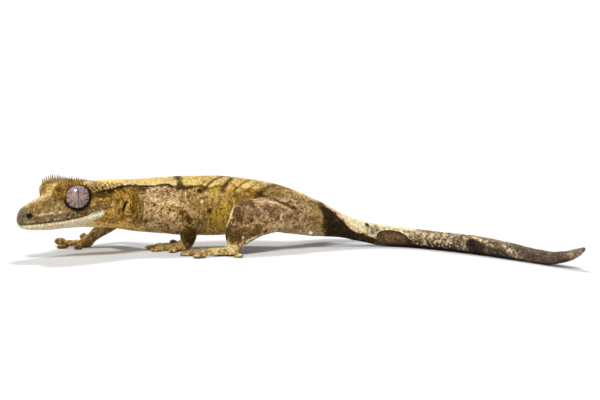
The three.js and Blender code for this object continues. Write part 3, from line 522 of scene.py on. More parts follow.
# blotches on the body: from and to (distance, out, height), radius, colour, strength
BLOTS = [
    ((17.6, 7.7, 16.5), (21.6, 8.0, 16.5), 0.9, (66, 46, 18), 0.75), ((18.4, 7.8, 15.0), (19.8, 8.0, 14.6), 0.7, (94, 72, 40), 0.4), ((22.2, 7.3, 17.2), (23.2, 7.2, 17.2), 0.62, (34, 22, 8), 0.95),
    ((21.0, 8.2, 13.6), (22.6, 8.3, 13.2), 0.4, (96, 78, 40), 0.6), ((24.0, 8.2, 14.6), (26.0, 8.0, 15.2), 0.5, (104, 80, 36), 0.5),
    ((25.9, 8.2, 12.2), (26.3, 8.2, 11.2), 0.4, (96, 70, 30), 0.7), ((29.3, 7.7, 12.4), (29.3, 7.7, 12.0), 0.55, (92, 70, 30), 0.85), ((28.6, 7.8, 16.6), (29.8, 7.4, 15.4), 0.8, (104, 78, 40), 0.55),
    ((30.2, 6.0, 17.6), (32.6, 5.6, 17.6), 0.7, (98, 76, 40), 0.7), ((44.0, 5.6, 17.9), (47.6, 6.0, 17.6), 0.95, (70, 52, 24), 0.6), ((33.2, 5.6, 17.6), (34.2, 5.8, 17.2), 0.55, (52, 38, 14), 0.8), ((38.6, 6.6, 16.4), (39.8, 6.8, 16.0), 0.6, (132, 98, 62), 0.6),
    ((50.3, 7.1, 16.8), (50.5, 7.1, 16.6), 0.72, (36, 24, 10), 0.97), ((53.2, 8.5, 11.4), (53.2, 8.5, 11.0), 0.62, (76, 44, 14), 0.9), ((47.4, 8.1, 10.6), (48.4, 8.2, 8.8), 0.85, (66, 48, 20), 0.85),
    ((51.6, 8.6, 10.2), (52.0, 8.5, 9.0), 0.7, (90, 68, 28), 0.6), ((45.4, 8.0, 11.0), (46.4, 8.0, 7.4), 1.2, (104, 80, 36), 0.65), ((49.4, 8.4, 7.2), (50.0, 8.0, 6.0), 0.6, (110, 84, 36), 0.5),
    ((56.4, 8.2, 15.2), (57.0, 8.0, 14.4), 0.6, (128, 92, 52), 0.5), ((54.6, 7.9, 14.6), (55.6, 8.2, 12.6), 0.9, (178, 140, 92), 0.5), ((58.6, 7.6, 14.8), (59.2, 7.8, 14.0), 0.8, (118, 88, 46), 0.55),
    ((60.8, 7.4, 15.6), (63.4, 7.0, 15.2), 1.0, (128, 98, 60), 0.6), ((62.0, 8.2, 13.2), (64.6, 8.2, 12.4), 1.2, (92, 72, 42), 0.65),
    # Painted shadow: the three dark entries on the next line draw the crease between thigh and body.
    ((69.2, 6.6, 15.6), (68.8, 6.4, 16.2), 0.8, (58, 36, 12), 0.9), ((69.0, 6.6, 15.4), (72.0, 6.6, 14.4), 0.6, (60, 38, 14), 0.9), ((70.6, 6.8, 14.4), (79.2, 6.2, 11.6), 0.62, (58, 38, 14), 0.9),
    ((73.0, 2.0, 17.9), (77.4, 1.4, 16.6), 0.9, (110, 88, 46), 0.6), ((74.4, 4.4, 15.6), (76.0, 4.8, 15.0), 0.6, (98, 72, 44), 0.55), ((81.0, 3.9, 13.5), (81.3, 3.9, 13.4), 0.55, (50, 32, 14), 0.9),
    ((83.6, 2.8, 13.4), (86.6, 2.0, 12.2), 0.8, (84, 66, 36), 0.75), ((79.4, 4.9, 10.6), (82.4, 4.4, 9.4), 0.7, (118, 94, 60), 0.4), ((99.5, 1.7, 6.5), (99.6, 1.7, 6.4), 0.6, (24, 14, 8), 0.97),
    ((101.0, 2.4, 4.9), (102.0, 2.6, 4.6), 0.5, (120, 104, 74), 0.5)]
RING = (50.9, 8.2, 13.8)
# blotches on the left legs, in the working frame: from, to, radius, colour, strength
LEG_BLOTS = [
    ((10.2, -15.6, 13.4), (9.6, -14.0, 13.4), 1.5, (80, 60, 36), 0.85), ((12.4, -17.2, 11.4), (13.4, -16.6, 9.2), 1.5, (82, 62, 38), 0.85), ((15.4, -18.4, 7.0), (16.2, -17.4, 4.8), 1.9, (86, 66, 42), 0.85),
    ((14.6, -14.8, 6.4), (14.2, -14.0, 6.8), 1.0, (96, 74, 48), 0.7), ((11.0, -12.4, 12.2), (10.8, -11.4, 10.8), 0.95, (106, 78, 66), 0.75), ((10.2, -10.0, 12.6), (9.6, -8.4, 12.2), 0.8, (108, 80, 68), 0.75),
    ((11.2, -10.6, 8.6), (10.8, -9.6, 8.0), 0.8, (112, 84, 66), 0.65), ((9.2, -7.6, 10.4), (8.8, -6.8, 9.6), 0.8, (110, 82, 66), 0.7), ((8.4, -5.6, 12.2), (7.6, -4.0, 11.8), 0.7, (108, 82, 68), 0.65),
    ((7.6, -4.0, 9.4), (7.0, -2.8, 9.0), 0.75, (116, 90, 70), 0.6), ((6.4, -1.6, 10.6), (6.0, -0.6, 10.0), 0.6, (110, 84, 62), 0.6), ((12.6, -13.6, 9.6), (12.0, -12.8, 8.8), 0.8, (104, 78, 60), 0.7),
    ((9.0, -8.0, 7.4), (7.4, -3.6, 6.8), 1.1, (184, 158, 108), 0.6), ((12.0, -11.4, 6.6), (10.4, -8.8, 6.6), 0.8, (180, 154, 104), 0.5), ((9.4, -12.4, 14.2), (7.6, -6.0, 13.8), 0.6, (186, 160, 116), 0.5),
    ((8.2, -17.8, 13.0), (10.6, -18.2, 12.0), 0.5, (240, 222, 170), 0.97), ((10.6, -18.2, 12.0), (12.6, -18.8, 9.9), 0.45, (240, 222, 170), 0.97), ((12.6, -18.8, 9.9), (13.8, -19.5, 7.6), 0.4, (232, 208, 150), 0.9),
    ((5.0, -9.6, 15.0), (6.7, -5.6, 13.5), 0.5, (58, 38, 16), 0.9), ((6.7, -5.6, 13.5), (6.1, -1.1, 11.6), 0.5, (66, 46, 22), 0.85), ((7.2, -8.0, 13.6), (7.4, -2.6, 11.8), 0.45, (196, 172, 120), 0.6),
    ((17.4, -15.6, 2.8), (14.4, -12.4, 4.2), 0.6, (232, 212, 160), 0.95), ((14.4, -12.4, 4.2), (11.6, -8.8, 5.0), 0.55, (226, 206, 156), 0.9),
    ((11.6, -9.3, 6.0), (11.4, -9.3, 6.0), 0.5, (46, 30, 18), 0.97), ((12.9, -32.4, 11.2), (12.9, -32.0, 11.0), 0.62, (44, 30, 12), 0.95), ((12.6, -30.4, 9.6), (12.4, -29.6, 8.6), 0.85, (60, 44, 20), 0.9),
    ((11.9, -31.6, 7.6), (11.9, -31.4, 7.4), 0.55, (40, 26, 10), 0.95), ((11.6, -30.8, 5.6), (10.4, -30.4, 4.2), 1.6, (72, 50, 20), 0.8), ((12.6, -33.4, 9.4), (12.0, -32.8, 8.6), 0.7, (120, 94, 50), 0.6),
    # Painted shade: the first entry on the next line darkens the inner toe of the near front foot, which lies in shade
    # under the body.
    ((12.8, -32.6, 11.6), (12.2, -30.2, 8.4), 1.7, (92, 68, 30), 0.6), ((10.6, -17.0, 13.2), (12.8, -16.0, 9.6), 2.0, (88, 66, 42), 0.5), ((-3.4, -36.8, 1.8), (0.6, -35.6, 1.6), 1.6, (44, 30, 16), 0.85), ((2.4, -66.0, 1.0), (2.4, -68.6, 1.0), 1.0, (92, 70, 24), 0.6)]


def chain(s, o, z, a, b):
    a, b = np.array(a, float), np.array(b, float)
    d = b - a
    p = [s - a[0], o - a[1], z - a[2]]
    t = np.clip((p[0] * d[0] + p[1] * d[1] + p[2] * d[2]) / (d @ d + 1e-9), 0, 1)
    return np.sqrt((p[0] - t * d[0]) ** 2 + (p[1] - t * d[1]) ** 2 + (p[2] - t * d[2]) ** 2)


def lay(col, mask, colour):
    m = np.clip(mask, 0, 1)[:, None]
    c = rgb(*colour) if isinstance(colour, tuple) else colour
    return col * (1 - m) + c * m


EYES = {}
for k, nm in ((1, "left"), (-1, "right")):
    ax = LEFT * k + FORWARD * EYE_FORWARD + UP * EYE_UP
    EYES[nm] = (at(EYE_S, k * EYE_OUT, EYE_Z), ax / np.linalg.norm(ax))


def soft(col):
    """Bright colours held below white without a change of hue."""
    top_ = np.maximum(col.max(1, keepdims=True), 1e-6)
    lid = np.where(top_ < 0.7, top_, 0.7 + 0.24 * (1 - np.exp(-(top_ - 0.7) / 0.24)))
    return np.clip(col * lid / top_, 0.002, 0.9)


def paint(P):
    s, o, deg, out = body_place(P)
    n1, n2, n3 = fractal(P, 3.2, 1), fractal(P, 1.3, 2), fractal(P, 0.55, 4, 2)
    big = fractal(P, 6.5, 7, 2)
    q = np.where(o < 0, s + 1.6 * noise(P, 9.0, 11), s)  # the right side has the same markings, but not the same outlines
    ao, z = np.abs(o), P[:, 2]
    col = ramp(SIDE, q)
    # mottling of the flank and rump
    col = lay(col, smooth(0.15, 0.6, n1) * 0.35 * smooth(2, 6, q), (112, 84, 44))
    col = lay(col, smooth(0.2, 0.7, -n1) * 0.28 * smooth(2, 6, q) * smooth(152, 144, q), (206, 176, 126))
    col = lay(col, smooth(0.25, 0.6, n2) * 0.4 * smooth(2, 5, q) * (1 - 0.5 * smooth(31, 34, q) * smooth(48, 43, q)), (96, 72, 38))
    col = lay(col, smooth(34, 37, q) * smooth(46, 43, q) * smooth(0.2, 0.5, n2) * 0.4, (140, 92, 66))
    col = lay(col, smooth(52, 56, q) * smooth(62, 59, q) * smooth(20, 0, deg) * smooth(-55, -30, deg) * (0.5 + 0.5 * n2), (186, 148, 44))
    # belly
    col = lay(col, smooth(-28, -62, deg + 10 * n1), ramp(BELLY, q))
    col = lay(col, smooth(33, 36, q) * smooth(60, 54, q) * np.exp(-((deg + 56 + 6 * n2) / 7) ** 2) * 0.4, (110, 80, 40))
    # back, with a dark line along its edge
    edge = np.interp(q, [b[0] for b in BORDER], [b[1] for b in BORDER]) + 3.5 * n2 + 2.0 * n1
    above = (z - np.interp(q, [15.5, 16.5, 18, 20, 22.3, 25.3, 29.6], [17.2, 16.9, 17.35, 17.6, 18.0, 18.5, 18.8]) - 0.12 * n2) * 9
    mix = smooth(28.5, 26, q) * smooth(14, 16, q)
    edge = edge * (1 - mix) + (deg - above) * mix
    col_b = ramp(BACK, q)
    col_b = lay(col_b, smooth(0.1, 0.7, n2 + 0.4 * n3) * 0.4 * smooth(16, 22, q) * smooth(110, 80, q), (150, 112, 50))
    # Painted shade: the top of the back is darkened against the strong light from above.
    col_b = col_b * (1 - 0.36 * smooth(45, 70, deg) * smooth(22, 30, q) * smooth(80, 72, q))[:, None]
    front = smooth(15.8, 17.0, q) * smooth(61, 57, q)
    line = smooth(edge - 8.5, edge - 5.5, deg) * smooth(edge + 1.5, edge - 0.5, deg) * front
    col = lay(col, smooth(edge - 18, edge - 7, deg) * smooth(edge, edge - 4, deg) * front * 0.45 * (0.6 + 0.5 * n1), (92, 68, 34))
    col = lay(col, smooth(edge - 1.5, edge + 2.5, deg), col_b)
    col = lay(col, np.clip(line * (0.95 + 0.3 * n2), 0, 1) * np.interp(q, [48.0, 50.5, 56, 60], [1, 0.4, 0.3, 0]), (34, 22, 8))
    crest = smooth(14.5, 16, q) * smooth(29, 26, q) * smooth(edge - 1, edge + 3, deg) * smooth(2.6, 4.2, ao)
    col = lay(col, crest, (252, 208, 132))
    streak = np.sin((q + 0.9 * (z - 18) + 0.25 * n2) * 2 * math.pi / 1.35)
    stripes = crest * smooth(0.05, 0.45, streak + 0.12 * n3) * 0.92
    col = lay(col, smooth(28, 33, q) * smooth(85, 80, q) * smooth(edge + 3, edge + 10, deg) * smooth(0.3, 0.8, n2 + 0.5 * n3) * 0.3, (150, 104, 52))
    # crown of the head
    crown = smooth(edge, edge + 12, deg) * smooth(7, 10, q) * smooth(17, 14, q)
    col = lay(col, crown * smooth(0.0, 0.5, n2 + n1) * 0.38, (100, 76, 36))
    col = lay(col, smooth(1, 3, q) * smooth(15, 12, q) * smooth(0.15, 0.5, n3 + 0.5 * n2) * 0.35, (110, 82, 46))
    col = lay(col, smooth(1, 3, q) * smooth(15, 12, q) * smooth(0.2, 0.6, -n3 - 0.4 * n2) * 0.35, (204, 178, 132))
    # dark bars across the back
    bar = np.exp(-((q - 44.9 - 0.6 * n2) / 1.05) ** 2) * smooth(38, 46, deg)
    bar = np.maximum(bar, np.exp(-((q - (51.6 + np.clip(deg - 38, 0, 60) * 0.155) - 0.4 * n2) / 0.7) ** 2) * smooth(30, 38, deg) * smooth(98, 84, deg) * 1.0)
    bar = np.maximum(bar, np.exp(-((q - (49.6 + np.clip(deg - 38, 0, 60) * 0.155)) / 0.35) ** 2) * smooth(40, 48, deg) * smooth(80, 60, deg) * 0.6)
    bar = np.maximum(bar, np.exp(-((q - 57.6 - 0.085 * (deg - 40) - 0.3 * n2) / 0.75) ** 2) * smooth(26, 36, deg) * smooth(86, 74, deg) * 0.9)
    bar = np.maximum(bar, np.exp(-((q - 61.4 - 0.12 * (deg - 40) - 0.3 * n2) / 0.5) ** 2) * smooth(30, 38, deg) * smooth(84, 70, deg) * 0.75)
    bar = np.maximum(bar, np.exp(-((q - 65.0 - 0.12 * (deg - 40) - 0.4 * n2) / 0.55) ** 2) * smooth(30, 38, deg) * smooth(80, 68, deg) * 0.6)
    bar = np.maximum(bar, np.exp(-((q - 68.0 - 0.115 * (deg - 30) - 0.3 * n2) / 0.75) ** 2) * smooth(20, 28, deg) * smooth(92, 80, deg) * 1.05)
    col = lay(col, np.clip(bar * 1.25, 0, 1) * (0.9 + 0.2 * n3), (56, 38, 14))
    patch = smooth(67.8, 69.2, q + 0.04 * (60 - deg) + 0.5 * n2) * smooth(79, 75.5, q) * smooth(24, 30, deg) * smooth(76, 66, deg + 8 * n2)
    col = lay(col, patch * (0.5 + 0.5 * n2), (124, 98, 56))
    col = lay(col, patch * smooth(0.2, 0.6, n1 - 0.4 * n3) * 0.7, (74, 52, 24))
    # tail: black band at its root, cream saddle behind it, domes and mottling further on
    e1 = np.interp(q, [86.3, 87, 90, 92, 94, 96, 100, 103.5], [95, 66, 47, 27, 6, -6, -14, -26]) + 6 * n2
    band = smooth(85.6, 87.2, q + 0.5 * n2 + 0.012 * (deg - 0)) * smooth(104.5, 102.5, q) * smooth(e1 + 5, e1 - 5, deg)
    col = lay(col, band * 0.97, (30, 18, 7))
    col = lay(col, band * smooth(0.1, 0.5, n1) * 0.5 * smooth(88, 92, q), (104, 82, 56))
    saddle = smooth(88.2, 89.6, q) * smooth(99.5, 97.5, q + 0.6 * n2) * smooth(e1 + 2, e1 + 12, deg)
    col = lay(col, saddle * 0.9, (242, 223, 182))
    col = lay(col, saddle * smooth(94, 90, q) * smooth(30, 65, deg) * 0.6, (222, 160, 112))
    col = lay(col, saddle * np.exp(-((deg - e1 - 13) / 5.5) ** 2) * 0.8, (206, 132, 78))
    col = lay(col, smooth(98, 99.5, q) * smooth(104, 101.5, q) * smooth(-0.1, 0.4, n3 + n2) * smooth(-30, 0, deg) * 0.75, (112, 94, 62))
    x = (q - 107.8) / 5.6
    arch = np.where(np.abs(x) < 1, 62 * np.sqrt(np.clip(1 - x * x, 0, 1)) - 18, -60)
    col = lay(col, smooth(arch + 14, arch + 7, deg) * smooth(arch - 2, arch + 2, deg) * smooth(101.5, 103, q) * smooth(113.5, 112, q) * 0.9, (222, 208, 172))
    dome = smooth(arch + 3, arch - 3, deg) * smooth(1.0, 0.95, np.abs(x))
    col = lay(col, dome * 0.95, (86, 66, 50))
    col = lay(col, dome * smooth(arch - 16, arch - 4, deg) * 0.8, (40, 26, 16))
    col = lay(col, dome * smooth(-0.2, 0.5, n1) * smooth(arch - 12, arch - 40, deg) * 0.5, (122, 104, 72))
    under = smooth(111, 114, q) * smooth(134, 127, q) * smooth(8, -10, deg + 12 * n2)
    col = lay(col, under * 0.95, (28, 20, 15))
    grain = smooth(113, 117, q) * smooth(133.5, 131.5, q)
    col = lay(col, grain * smooth(0.12, 0.3, n3 + 0.25 * n2) * smooth(-40, -10, deg) * 0.85, (84, 64, 46))
    col = lay(col, grain * smooth(0.1, 0.35, -n3 - 0.2 * n2) * smooth(-60, -20, deg) * 0.75, (200, 182, 150))
    col = lay(col, smooth(113, 116, q) * smooth(124, 121, q) * smooth(52, 66, deg) * 0.6, (96, 74, 52))
    oval = smooth(1.15, 0.9, np.sqrt(((q - 136.6 + 0.02 * deg) / 3.4) ** 2 + ((deg + 14) / 70) ** 2) + 0.1 * n2)
    col = lay(col, oval * 0.97, (34, 22, 14))
    col = lay(col, oval * smooth(0.0, 0.4, n3) * 0.3, (90, 70, 58))
    col = lay(col, smooth(136, 138, q) * smooth(152, 145, q) * smooth(26, 2, deg + 12 * n2) * 0.8, (58, 43, 32))
    col = lay(col, smooth(133.4, 134.6, q) * smooth(143.5, 141.5, q) * np.exp(-((deg - 60 + 4.2 * (q - 134) - 8 * n2) / 8) ** 2) * 0.85, (198, 180, 138))
    rear = smooth(137, 139, q) * smooth(157, 153, q)
    col = lay(col, rear * smooth(0.0, 0.3, n3 + 0.3 * n2) * 0.75, (78, 60, 42))
    diag = np.exp(-((q - 149.6 + 0.07 * deg) / 1.9) ** 2)
    col = lay(col, diag * smooth(-0.15, 0.2, n3) * 0.75, (192, 176, 148))
    col = lay(col, rear * smooth(0.25, 0.5, -n3 - 0.3 * n2) * 0.42, (178, 160, 128))
    # Painted shade: the lower side of the tail is darkened almost to black next to the floor.
    col = lay(col, smooth(104, 108, q) * smooth(162, 152, q) * smooth(-22, -50, deg) * 0.85, (26, 19, 15))
    col = lay(col, smooth(150, 154, q) * smooth(162, 158, q) * 0.2, (112, 92, 76))
    col = lay(col, smooth(166, 168, q) * smooth(170.8, 169.8, q) * smooth(40, 10, deg) * 0.6, (164, 144, 112))
    col = lay(col, smooth(163, 166, q) * smooth(171, 168, q) * smooth(30, 62, deg) * 0.8, (84, 66, 88))
    col = lay(col, stripes, (66, 36, 12))
    # blotches
    for a, b, r, c, k in BLOTS:
        dd = chain(q, ao, z, a, b)
        col = lay(col, smooth(1.25, 0.75, dd / r + 0.3 * n3 + 0.12 * n2) * k, c)
    dd = chain(q, ao, z, RING, RING)
    col = lay(col, smooth(0.42, 0.2, np.abs(dd - 0.95)) * smooth(-1.6, 0.3, q - RING[0]) * 0.8, (104, 104, 62))
    col = lay(col, smooth(0.55, 0.35, dd), (226, 208, 158))
    # mouth and lips
    zm = np.interp(s, MOUTH[:, 0], MOUTH[:, 1])
    on_side = smooth(35, 20, deg) * smooth(24.5, 22.5, s)
    lip = on_side * smooth(2.6, 1.6, z - zm) * smooth(-0.1, 0.15, z - zm)
    col = lay(col, lip * 0.85 * smooth(22, 20, s), (100, 78, 60))
    col = lay(col, lip * smooth(0.0, 0.4, n3) * 0.3, (150, 126, 100))
    col = lay(col, on_side * np.exp(-((z - zm - 2.35 + 0.1 * n2) / 0.26) ** 2) * smooth(3, 4, s) * smooth(10.5, 9, s) * smooth(-0.5, 0.0, n2) * 0.85, (214, 194, 164))
    low = smooth(0.05, -0.15, z - zm) * smooth(20.5, 18, s) * smooth(-0.5, 0.2, s + 0.6) * smooth(np.interp(s, [10, 14, 19], [6, 2.7, 1.2]) + 0.5, np.interp(s, [10, 14, 19], [6, 2.7, 1.2]) - 0.4, zm - z)
    col = lay(col, low * 0.92, ramp([(0, 166, 156, 124), (3.5, 186, 170, 134), (8, 214, 190, 156), (13, 236, 214, 184), (20, 214, 184, 140)], s))
    col = lay(col, low * smooth(0.2, 0.6, n2) * 0.3, (150, 128, 96))
    dd = chain(s, ao, z, (15.4, 7.6, 10.5), (19.4, 8.3, 11.9))
    col = lay(col, smooth(1.15, 0.75, dd / np.interp(s, [15, 19], [0.6, 0.95]) + 0.35 * n3) * 0.97, (255, 238, 208))
    col = lay(col, np.exp(-((z - zm) / 0.17) ** 2) * smooth(17.5, 15.5, s) * 0.85, (58, 38, 24))
    col = lay(col, np.exp(-((z - zm - 0.5) / 0.2) ** 2) * smooth(16.5, 18, s) * smooth(23, 21.5, s) * (0.6 + 0.3 * n2), (84, 60, 30))
    col = lay(col, smooth(2.6, 1.2, s + 0.25 * (z - 10.5)) * smooth(-0.6, 0.2, z - zm) * 0.75, (108, 97, 75))
    # nostril and ear openings painted near black as painted shade inside them, with a paler rim round the ear
    for k in (1, -1):
        nd = np.linalg.norm(P - (at(1.95, k * 3.15, 11.45) + LEFT * k * 0.2), axis=1)
        col = lay(col, smooth(0.95, 0.62, nd), (18, 10, 8))
    col = lay(col, smooth(0.62, 0.36, np.abs(s - 0.5 * (z - 13.1) - 26.7)) * smooth(1.5, 1.1, np.abs(z - 13.1)) * 0.97, (24, 14, 6))
    col = lay(col, smooth(0.3, 0.12, np.abs(np.abs(s - 0.5 * (z - 13.1) - 26.8) - 0.85)) * smooth(1.8, 1.2, np.abs(z - 13.1)) * 0.4, (196, 160, 96))
    # rims of the eyes
    for c, ax in EYES.values():
        r = np.linalg.norm(P - c, axis=1)
        up = (P - c) @ UP / (r + 1e-6)
        col = lay(col, smooth(5.0, 4.1, r + 0.4 * n2) * 0.45, (104, 78, 40))
        col = lay(col, smooth(5.6, 4.6, r + 0.3 * n2) * smooth(0.5, 0.8, up) * 0.6, (172, 140, 70))
        col = lay(col, smooth(4.08, 3.9, r + 0.08 * n3 + 0.12 * up) * 0.97, (40, 22, 16))
        col = lay(col, smooth(3.8, 3.58, r) * 0.9, (26, 14, 12))
    # legs
    which, dist, t, ang = limb_place(P)
    limb = smooth(0.25, 1.5, out - 0.1 + 0.25 * n2)
    hind, left = (which % 2 == 1), (which < 2)
    lc = np.where(hind[:, None], rgb(148, 117, 82), rgb(170, 138, 92))
    lc = lay(lc, smooth(0.1, 0.5, n1) * 0.5 * hind, (112, 84, 66))
    lc = lay(lc, smooth(0.15, 0.5, n2) * 0.55 * hind, (104, 78, 56))
    lc = lay(lc, smooth(0.2, 0.6, -n2) * 0.5, (190, 162, 118))
    lc = lay(lc, (~hind) * smooth(0.2, 0.6, n2) * 0.35, (132, 94, 62))
    kneet = smooth(0.36, 0.46, t) * smooth(0.98, 0.86, t)
    lc = lay(lc, hind * kneet * smooth(-0.35, 0.15, n1 + 0.4 * n2) * 0.75, (70, 52, 32))
    # Partly painted shade: the near forearm's own darker brown is deepened where it lies in shade under the belly.
    fore = smooth(0.52, 0.66, t) * smooth(1.02, 0.9, t)
    lc = lay(lc, (~hind) * left * fore * (0.8 + 0.2 * n2), (68, 46, 14))
    lc = lay(lc, (~hind) * (~left) * smooth(0.3, 0.5, t) * smooth(1.05, 0.95, t) * (0.6 + 0.3 * n2), (104, 82, 44))
    paw = smooth(0.95, 1.1, t)
    lc = lay(lc, paw * 0.9, np.where((left | hind)[:, None], np.where(hind[:, None], rgb(214, 184, 122), rgb(238, 200, 118)), rgb(156, 126, 56)))
    lc = lay(lc, paw * smooth(0.0, 0.4, n2) * 0.7, (116, 84, 46))
    lc = lay(lc, paw * smooth(0.3, 0.5, n3) * 0.6, (84, 58, 34))
    lc = lay(lc, paw * smooth(0.25, 0.6, -n2) * 0.5, (214, 188, 140))
    lc = lay(lc, smooth(1.66, 1.76, t) * smooth(0.0, 0.4, n3 + 0.3) * 0.65, (112, 80, 52))
    # Painted shade: the paws are darkened close to the floor.
    lc = lay(lc, smooth(0.62, 0.4, z) * paw * 0.6, (120, 92, 62))
    for a, b, rr, c, k in LEG_BLOTS:
        dd = chain(P[:, 0], P[:, 1], z, a, b)
        lc = lay(lc, smooth(1.25, 0.75, dd / rr + 0.45 * n3 + 0.2 * n2) * k, c)
    # the right legs carry the same kind of marks by distance along the limb
    lc = lay(lc, (~left) * hind * smooth(0.28, 0.36, t) * smooth(0.62, 0.5, t) * smooth(-0.3, 0.3, n1) * 0.8, (84, 64, 42))
    lc = lay(lc, (~left) * hind * smooth(0.3, 0.12, np.abs(ang - 1.2 + 0.3 * n2)) * smooth(0.3, 0.4, t) * smooth(0.95, 0.8, t) * 0.8, (226, 206, 156))
    col = np.where((limb > 0)[:, None], col * (1 - limb[:, None]) + lc * limb[:, None], col)
    # fine creases darkened as painted shade, and grain everywhere
    net = smooth(0.13, 0.03, np.abs(noise(P, 1.25, 41) + 0.35 * noise(P, 0.6, 42)))
    amount = 0.30 + 0.22 * smooth(17, 22, q) * smooth(60, 52, q)
    pale = smooth(16, 18, q) * smooth(edge - 2, edge + 6, deg) * (out < 0.6)
    col = lay(col, net * 1.6 * amount * (1 - 0.5 * pale) * (1 - 0.75 * low) * smooth(0.5, 2, q), (74, 52, 26))
    col = lay(col, smooth(0.34, 0.6, noise(P, 0.5, 43)) * 0.62 * (1 - 0.5 * pale) * (1 - 0.8 * low), (60, 42, 20))
    trunk = smooth(29, 33, q) * smooth(66, 62, q) * smooth(44, 30, deg) * (limb < 0.5)
    wrinkle = noise(np.stack([q + 0.25 * n1, ao * 0.3, z * 0.22], 1), 0.62, 45)
    col = lay(col, trunk * smooth(0.12, 0.4, wrinkle) * 0.38, (98, 72, 40))
    col = lay(col, trunk * smooth(0.3, 0.6, -wrinkle) * 0.25, (202, 168, 124))
    col = col * (1 + 0.36 * smooth(0.3, 0.7, noise(P, 0.6, 44)) * (1 - 0.8 * trunk) + (0.34 - 0.16 * trunk) * n3 + 0.08 * big)[:, None]
    lum = (col @ np.array([0.21, 0.72, 0.07]))[:, None]
    col = np.clip(lum + (col - lum) * (0.97 + 0.36 * smooth(0.2, 0.05, lum) * smooth(150, 90, q)[:, None]), 0.001, 2) * np.array([1.0, 1.035, 1.0])
    return soft(col * 1.52 * (np.maximum(lum, 0.01) / 0.2) ** 0.3), (s, o, deg, out, which, t, ang)


# ------------------------------------------------------------------ small forms of the skin
s_, o_, deg_, out_ = body_place(verts)
push = 0.05 * fractal(verts, 2.4, 21) + 0.03 * fractal(verts, 1.0, 22, 2)
fold = smooth(28.2, 29.5, s_) * smooth(35.5, 33.5, s_) * smooth(45, 20, deg_) * smooth(-60, -35, deg_) * (out_ < 0.4)
push -= 0.16 * fold * (0.5 + 0.5 * np.sin(s_ * 2 * math.pi / 1.35 + 0.6 * noise(verts, 4, 23)))
flank = smooth(47, 50, s_) * smooth(62, 59, s_) * smooth(30, 10, deg_) * smooth(-70, -50, deg_) * (out_ < 0.4)
push -= 0.1 * flank * (0.5 + 0.5 * np.sin(s_ * 2 * math.pi / 2.1 + 0.05 * deg_ + 1.5 * noise(verts, 5, 24)))
push *= smooth(0.1, 0.5, verts[:, 2]) * smooth(0.0, 1.5, np.minimum(*[np.linalg.norm(verts - c, axis=1) - 3.7 for c, _ in EYES.values()]))
verts = verts + nrm * push[:, None]
verts[:, 2] = np.maximum(verts[:, 2], 0.02)
nrm = normals(verts, quads)


# ------------------------------------------------------------------ meshes
def make_mesh(name, v_mm, faces, colours=None, uv=None, shade=True):
    me = bpy.data.meshes.new(name)
    v = (np.asarray(v_mm) - ORIGIN) / 1000
    faces = np.asarray(faces)
    k = faces.shape[1]
    me.vertices.add(len(v)); me.vertices.foreach_set("co", v.astype(np.float32).ravel())
    me.loops.add(faces.size); me.loops.foreach_set("vertex_index", faces.astype(np.int32).ravel())
    me.polygons.add(len(faces))
    me.polygons.foreach_set("loop_start", (np.arange(len(faces)) * k).astype(np.int32))
    me.polygons.foreach_set("loop_total", np.full(len(faces), k, np.int32))
    if shade:
        me.polygons.foreach_set("use_smooth", np.ones(len(faces), bool))
    me.update(calc_edges=True)
    me.validate()
    if colours is not None:
        a = me.color_attributes.new("Col", "FLOAT_COLOR", "POINT")
        a.data.foreach_set("color", np.concatenate([colours, np.ones((len(v), 1))], 1).astype(np.float32).ravel())
    if uv is not None:
        layer = me.uv_layers.new(name="OFBake")
        idx = np.empty(len(me.loops), np.int32)
        me.loops.foreach_get("vertex_index", idx)
        layer.data.foreach_set("uv", uv[idx].astype(np.float32).ravel())
    ob = bpy.data.objects.new(name, me)
    bpy.context.scene.collection.objects.link(ob)
    return ob


def scatter(v, q, keep, distance, seed):
    """Roots on the chosen faces, no two nearer than distance: (points, normals) in mm."""
    me = bpy.data.meshes.new("roots")
    q = q[keep]
    used, inv = np.unique(q, return_inverse=True)
    me.from_pydata(v[used].tolist(), [], inv.reshape(q.shape).tolist())
    me.update()
    ob = bpy.data.objects.new("roots", me)
    bpy.context.scene.collection.objects.link(ob)
    ng = bpy.data.node_groups.new("scatter", "GeometryNodeTree")
    ng.interface.new_socket("Geometry", in_out="INPUT", socket_type="NodeSocketGeometry")
    ng.interface.new_socket("Geometry", in_out="OUTPUT", socket_type="NodeSocketGeometry")
    i, o_ = ng.nodes.new("NodeGroupInput"), ng.nodes.new("NodeGroupOutput")
    dp = ng.nodes.new("GeometryNodeDistributePointsOnFaces")
    dp.distribute_method = "POISSON"
    dp.inputs["Distance Min"].default_value = distance
    dp.inputs["Density Max"].default_value = 2.6 / distance ** 2
    dp.inputs["Seed"].default_value = seed
    sa = ng.nodes.new("GeometryNodeStoreNamedAttribute")
    sa.data_type = "FLOAT_VECTOR"
    sa.inputs["Name"].default_value = "nrm"
    pv = ng.nodes.new("GeometryNodePointsToVertices")
    ng.links.new(i.outputs[0], dp.inputs["Mesh"])
    ng.links.new(dp.outputs["Points"], sa.inputs["Geometry"])
    ng.links.new(dp.outputs["Normal"], sa.inputs["Value"])
    ng.links.new(sa.outputs["Geometry"], pv.inputs[0])
    ng.links.new(pv.outputs[0], o_.inputs[0])
    m = ob.modifiers.new("scatter", "NODES")
    m.node_group = ng
    ev = ob.evaluated_get(bpy.context.evaluated_depsgraph_get())
    d = ev.to_mesh()
    P = np.empty(len(d.vertices) * 3, np.float32); d.vertices.foreach_get("co", P)
    n = np.empty(len(d.vertices) * 3, np.float32); d.attributes["nrm"].data.foreach_get("vector", n)
    ev.to_mesh_clear()
    bpy.data.objects.remove(ob, do_unlink=True)
    bpy.data.node_groups.remove(ng)
    bpy.data.meshes.remove(me)
    return P.reshape(-1, 3).astype(float), n.reshape(-1, 3).astype(float)


